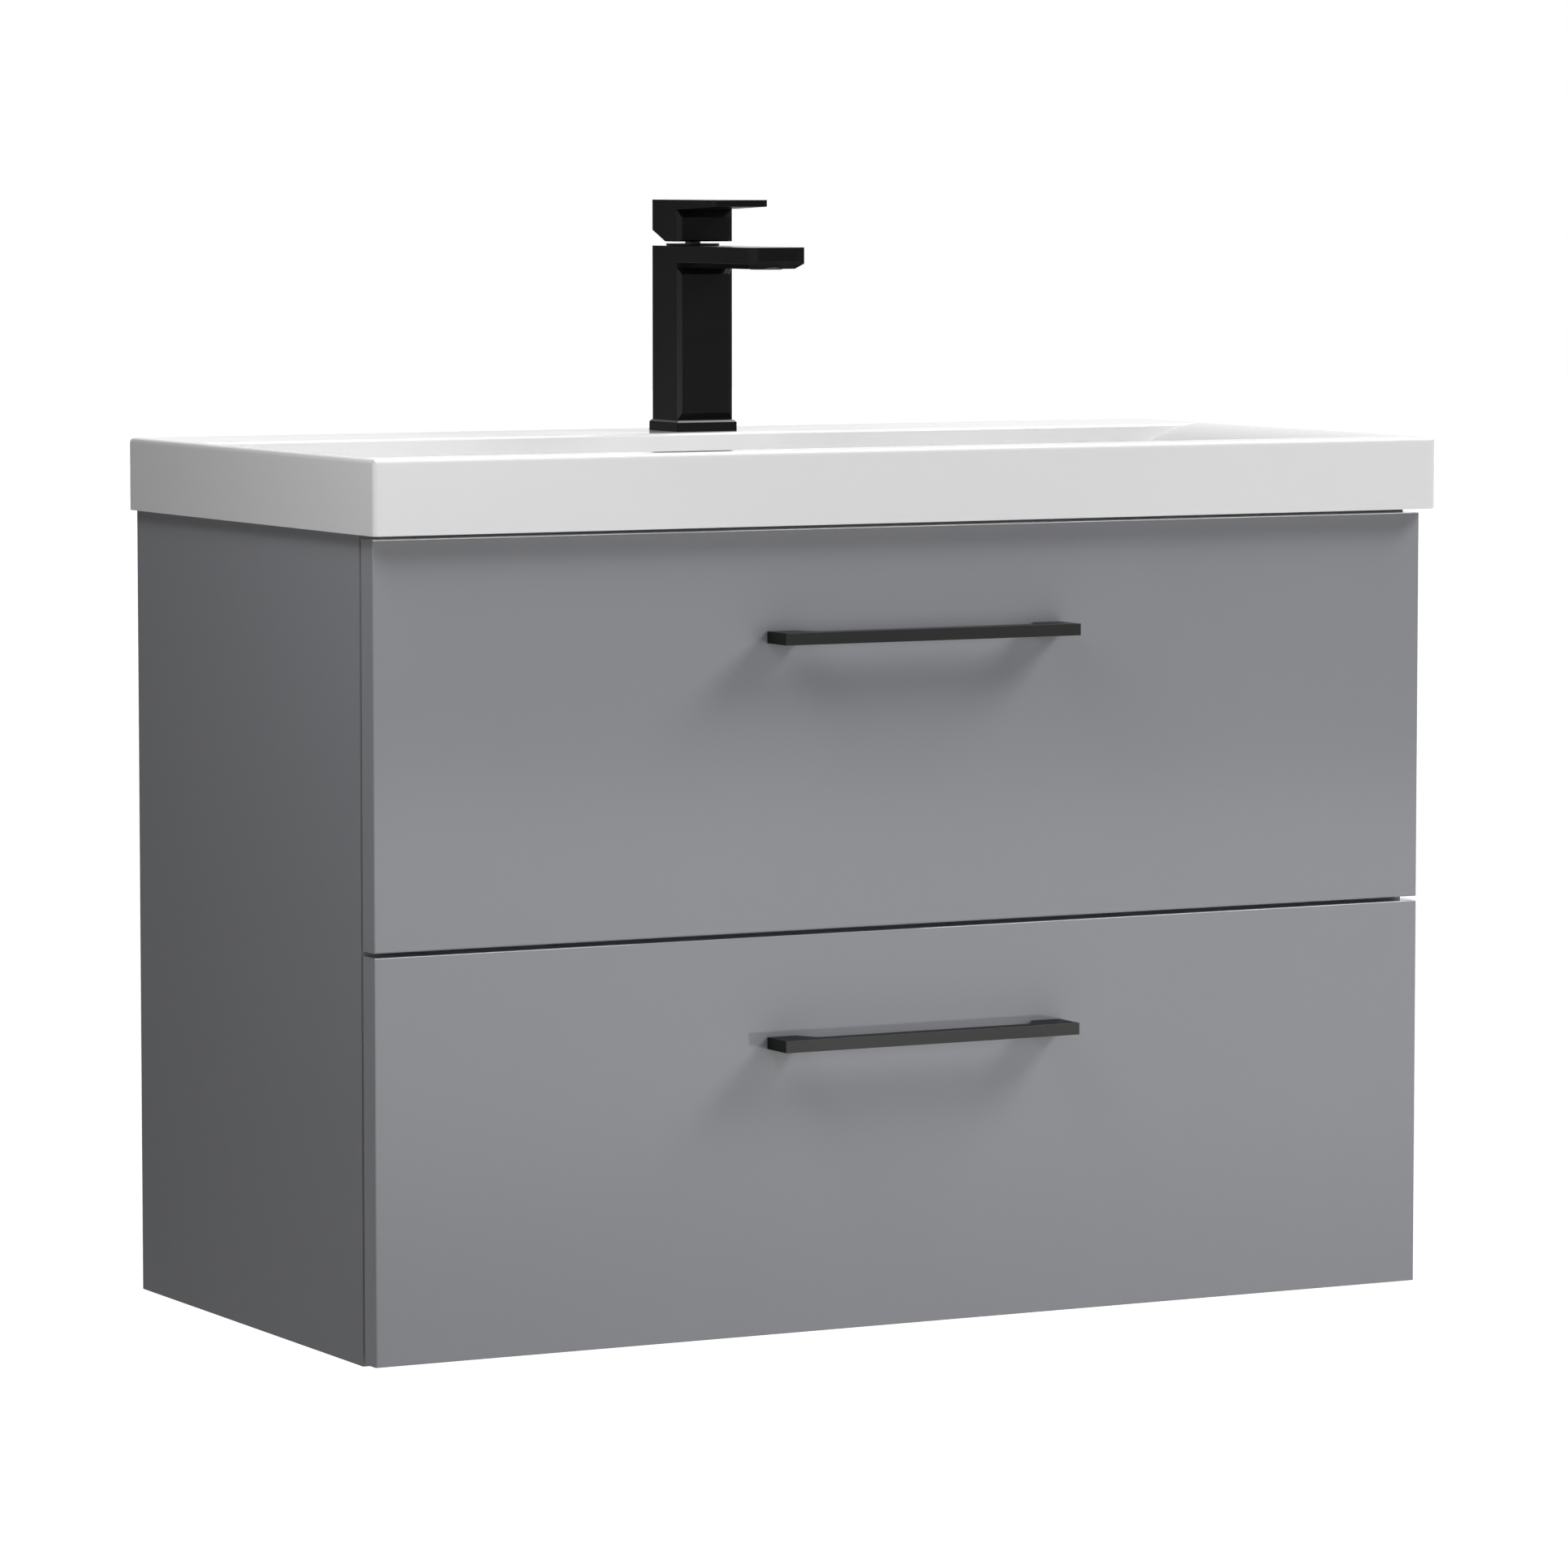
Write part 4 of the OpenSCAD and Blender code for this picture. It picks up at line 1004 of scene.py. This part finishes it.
@dataclass
class Runner(Assembly):
    """One ball-bearing runner: the channel on the cabinet, the middle one and the drawer's.

    Attributes:
        level: the drawer that it carries.
        side: the side of the cabinet that it is on.
        steel: the thickness of its channels.
        flush: the head of a screw that holds the fixed channel, which the middle channel passes.
        pan: the head of a screw that holds the drawer's channel.
        stations: where the screws sit along a channel, as shares of its length.
    """

    level: Level = Level.UPPER
    side: Side = Side.LEFT
    steel: float = 1.2 * MM
    flush: Head = Head(3.6 * MM, 0.6 * MM, 3.3 * MM, (4.2 * MM, 0.9 * MM, 0.5 * MM))
    pan: Head = Head(3.8 * MM, 1.8 * MM, 2.4 * MM, (4.2 * MM, 1.0 * MM, 1.3 * MM))
    stations: tuple[float, ...] = (0.1, 0.5, 0.9)

    def name(self) -> str:
        """Names the runner, as its nodes' names start."""
        return f"{self.level.value}_runner_{self.side.name.lower()}_"

    def nodes(self) -> tuple[str, ...]:
        """Names the runner's nodes."""
        return (self.name(),)

    def add_pieces(self) -> None:
        """Sets the screws in the fixed channel and in the drawer's."""
        turn = self.side.value
        low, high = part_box(self.name() + "fixed")
        web = max(abs(low[0]), abs(high[0])) - self.steel
        spots = self.spots(low, high, turn * web, -turn)
        self.fasten(self.name() + "fixed_screws", self.flush, spots, "cabinet")
        low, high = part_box(self.name() + "drawer")
        web = min(abs(low[0]), abs(high[0])) + self.steel
        spots = self.spots(low, high, turn * web, turn)
        self.fasten(self.name() + "drawer_screws", self.pan, spots, self.level.value + "_drawer")

    def spots(self, low: Vector, high: Vector, x: float, facing: int) -> list[Spot]:
        """Spaces the screws along a channel.

        Args:
            low: the channel's lowest corner.
            high: its highest corner.
            x: the face of its web that the heads sit on.
            facing: the sign of the x direction in which they point.

        Returns:
            The screws' spots.
        """
        middle = (low[2] + high[2]) / 2
        length = high[1] - low[1]
        out = (float(facing), 0.0, 0.0)
        return [Spot((x, low[1] + share * length, middle), out) for share in self.stations]


@dataclass
class Drawer(Assembly):
    """One drawer: its front, its box and its handle.

    Attributes:
        level: which of the two drawers it is.
        handle_ease: the width of the eased edges of its handle.
    """

    level: Level = Level.UPPER
    handle_ease: float = 0.1 * MM

    def nodes(self) -> tuple[str, ...]:
        """Names the drawer's nodes."""
        return (self.level.value + "_drawer_",)

    def add_pieces(self) -> None:
        """Replaces the handle with an eased copy."""
        self.ease(self.level.value + "_drawer_handle", "handle", "black_handle", self.handle_ease)


@dataclass
class Tap(Assembly):
    """The mixer tap with its lever, its works and its clamp.

    Attributes:
        ease_width: the width of the eased edges of its castings.
    """

    ease_width: float = 0.2 * MM

    def nodes(self) -> tuple[str, ...]:
        """Names the tap's nodes."""
        return ("tap_",)

    def add_pieces(self) -> None:
        """Replaces the black castings with eased copies."""
        for node in ("tap_body", "tap_base_plate", "tap_lever"):
            self.ease(node, "tap", "black_tap", self.ease_width)


# ---- Studio ----


@dataclass(frozen=True)
class Lamp:
    """A soft area lamp.

    Attributes:
        name: the lamp's name.
        place: where it stands, in metres.
        target: the point that it faces.
        size: its width and height.
        level: how brightly it lights a white surface that faces it at the target, where 1 is white.
        mirrored: whether it shows in reflections.
    """

    name: str
    place: tuple[float, float, float]
    target: tuple[float, float, float]
    size: tuple[float, float]
    level: float
    mirrored: bool = False

    def build(self) -> None:
        """Puts the lamp in the scene, turned to its target."""
        light = bpy.data.lights.new(self.name, "AREA")
        light.shape = "RECTANGLE"
        light.size, light.size_y = self.size
        lamp = bpy.data.objects.new(self.name, light)
        lamp.location = self.place
        aim = Vector(self.target) - Vector(self.place)
        light.energy = self.level * math.pi**2 * aim.length_squared
        lamp.rotation_euler = aim.to_track_quat("-Z", "Y").to_euler()
        lamp.visible_camera = False
        lamp.visible_glossy = self.mirrored
        bpy.context.scene.collection.objects.link(lamp)


@dataclass
class Studio:
    """A pale floor, a white surround, soft lamps and the camera.

    Attributes:
        floor_drop: how far the floor lies below the cabinet.
        floor_size: the floor's side.
        floor_tone: its linear grey.
        floor_rough: its roughness.
        floor_seen: the distances between which its own glow, as the camera sees it, goes up, and
            the glow at each.
        surround: the strength of the soft light from all round.
        dark: how bright the unlit parts of the room show in gloss.
        band_starts: the distances between which the floor's white band begins, and how bright the
            floor shows in gloss at each.
        band_ends: the same for the band's far end.
        band_side: the y between which the floor behind and the floor ahead part.
        patch: the x between which a white patch at the left begins.
        wall_behind: the y of the ray between which the white wall at the back begins.
        wall_right: the x of the ray between which it begins.
        wall_above: the z of the ray between which it begins.
        skylight: how bright a window high on the right shows in gloss.
        sky_up: the z of the ray between which that window begins.
        sky_right: the x of the ray between which it begins.
        eye: where the camera stands.
        heading: how far the view turns from +Y towards +X, in degrees.
        dip: how far the view tips down, in degrees.
        lens: the focal length on a 36 mm sensor.
        lamps: the lamps.
    """

    floor_drop: float = 0.45
    floor_size: float = 60.0
    floor_tone: float = 0.7
    floor_rough: float = 0.9
    floor_seen: tuple[float, float, float, float] = (3.0, 12.0, 0.9, 1.0)
    surround: float = 0.04
    dark: float = 0.09
    band_starts: tuple[float, float, float, float] = (2.8, 5.2, 0.24, 1.0)
    band_ends: tuple[float, float, float, float] = (8.8, 11.0, 1.0, 0.12)
    band_side: tuple[float, float] = (0.3, -0.3)
    patch: tuple[float, float] = (-1.5, -3.5)
    wall_behind: tuple[float, float] = (0.2, 0.5)
    wall_right: tuple[float, float] = (-0.15, 0.1)
    wall_above: tuple[float, float] = (-0.01, 0.03)
    skylight: float = 5.0
    sky_up: tuple[float, float] = (0.6, 0.75)
    sky_right: tuple[float, float] = (0.1, 0.3)
    eye: tuple[float, float, float] = (-2.344, -4.652, 0.788)
    heading: float = 27.779
    dip: float = 4.936
    lens: float = 166.5
    lamps: tuple[Lamp, ...] = (
        Lamp("key", (1.99, -1.35, 2.23), (0.0, -0.2, 0.3), (1.0, 1.0), 0.59, True),
        Lamp("right_side", (2.3, 0.05, 1.9), (0.0, -0.2, 0.7), (0.6, 0.6), 0.16),
        Lamp("left_near", (-0.72, -0.72, 1.1), (-0.3, -0.3, 0.45), (0.4, 0.4), 0.29),
        Lamp("left_high", (-1.23, -0.53, 2.34), (0.0, -0.2, 0.3), (0.8, 0.8), 0.19),
        Lamp("front_low", (0.25, -1.77, 0.36), (0.0, -0.2, 0.3), (0.8, 0.8), 0.22),
        Lamp("left_low", (-1.1, -0.75, 0.55), (-0.3, -0.3, 0.5), (0.4, 0.4), 0.08),
    )

    def build(self) -> None:
        """Makes the floor, the surround, the lamps and the camera."""
        self.lay_floor()
        self.light_surround()
        for lamp in self.lamps:
            lamp.build()
        self.stand_camera()
        bpy.context.scene.view_settings.view_transform = "Standard"

    def lay_floor(self) -> None:
        """Lays the pale floor, which the camera sees as nearly white with the unit's shadow on it."""
        half = self.floor_size / 2
        mesh = bpy.data.meshes.new("floor")
        corners = [(-half, -half), (half, -half), (half, half), (-half, half)]
        mesh.from_pydata([(x, y, -self.floor_drop) for x, y in corners], [], [(0, 1, 2, 3)])
        material = bpy.data.materials.new("pale_floor")
        material.use_nodes = True
        graph = Graph(material.node_tree)
        shader = material.node_tree.nodes["Principled BSDF"]
        shader.inputs["Base Color"].default_value = (self.floor_tone,) * 3 + (1.0,)
        shader.inputs["Roughness"].default_value = self.floor_rough
        shader.inputs["Emission Color"].default_value = (1.0, 1.0, 1.0, 1.0)
        rays = graph.node("ShaderNodeLightPath").outputs
        seen = graph.maths("MAXIMUM", rays["Is Camera Ray"], rays["Is Transmission Ray"])
        mirrored = graph.maths("MULTIPLY", rays["Is Glossy Ray"], self.lit_floor(graph))
        plain = graph.remap(self.away(graph), *self.floor_seen)
        glow = graph.maths("MAXIMUM", graph.maths("MULTIPLY", seen, plain), mirrored)
        graph.feed(shader.inputs["Emission Strength"], glow)
        mesh.materials.append(material)
        floor = bpy.data.objects.new("floor", mesh)
        bpy.context.scene.collection.objects.link(floor)

    def away(self, graph: Graph) -> Socket:
        """Gives the distance along the floor from under the unit."""
        place = graph.node("ShaderNodeTexCoord").outputs["Object"]
        return graph.node("ShaderNodeVectorMath", {0: place}, operation="LENGTH").outputs["Value"]

    def lit_floor(self, graph: Graph) -> Socket:
        """Gives how white the floor shows in gloss: a white band ahead and a white patch at the left.

        Args:
            graph: the floor's shader tree.

        Returns:
            The strength's socket.
        """
        place = graph.node("ShaderNodeTexCoord").outputs["Object"]
        along = graph.node("ShaderNodeSeparateXYZ", {0: place}).outputs
        away = self.away(graph)
        rise = graph.remap(away, *self.band_starts)
        fall = graph.remap(away, *self.band_ends)
        left = graph.remap(along["X"], *self.patch)
        band = graph.maths("MAXIMUM", graph.maths("MULTIPLY", rise, fall), left)
        ahead = graph.maths("MULTIPLY", band, graph.remap(along["Y"], *self.band_side))
        return graph.maths("MAXIMUM", ahead, self.dark)

    def light_surround(self) -> None:
        """Lights the unit softly from all round; the camera sees plain white there."""
        world = bpy.data.worlds.new("studio")
        bpy.context.scene.world = world
        world.use_nodes = True
        graph = Graph(world.node_tree)
        background = world.node_tree.nodes["Background"]
        rays = graph.node("ShaderNodeLightPath").outputs
        seen = graph.maths("MAXIMUM", rays["Is Camera Ray"], rays["Is Transmission Ray"])
        way = graph.node("ShaderNodeTexCoord").outputs["Generated"]
        turned = graph.node("ShaderNodeSeparateXYZ", {0: way}).outputs
        behind = graph.remap(turned["Y"], *self.wall_behind)
        right = graph.remap(turned["X"], *self.wall_right)
        above = graph.remap(turned["Z"], *self.wall_above)
        white_wall = graph.maths("MULTIPLY", behind, graph.maths("MULTIPLY", right, above))
        up = graph.remap(turned["Z"], *self.sky_up)
        across = graph.remap(turned["X"], *self.sky_right, 0.0, self.skylight)
        window = graph.maths("MULTIPLY", up, across)
        mirrored = graph.maths("MAXIMUM", graph.remap(white_wall, 0.0, 1.0, self.dark, 1.0), window)
        inputs = {0: rays["Is Glossy Ray"], 2: self.surround, 3: mirrored}
        lit = graph.node("ShaderNodeMix", inputs).outputs[0]
        graph.feed(background.inputs["Color"], graph.maths("MAXIMUM", seen, lit))

    def stand_camera(self) -> None:
        """Stands the camera in its place."""
        data = bpy.data.cameras.new("camera")
        data.lens = self.lens
        camera = bpy.data.objects.new("camera", data)
        camera.location = self.eye
        camera.rotation_euler = (math.radians(90 - self.dip), 0.0, math.radians(-self.heading))
        bpy.context.scene.collection.objects.link(camera)
        bpy.context.scene.camera = camera


# ---- The unit ----


def main() -> None:
    """Builds the unit and its studio."""
    logging.basicConfig(level=logging.INFO, format="%(name)s: %(message)s")
    shop = Finishes(Palette()), Fastenings()
    assemblies = [Basin(*shop), Waste(*shop), Tap(*shop), Carcass(*shop), WallFixing(*shop)]
    for level in Level:
        assemblies.append(Drawer(*shop, level=level))
        assemblies += [Runner(*shop, level=level, side=side) for side in Side]
    for assembly in assemblies:
        assembly.build()
    Studio().build()


if __name__ == "__main__":
    main()
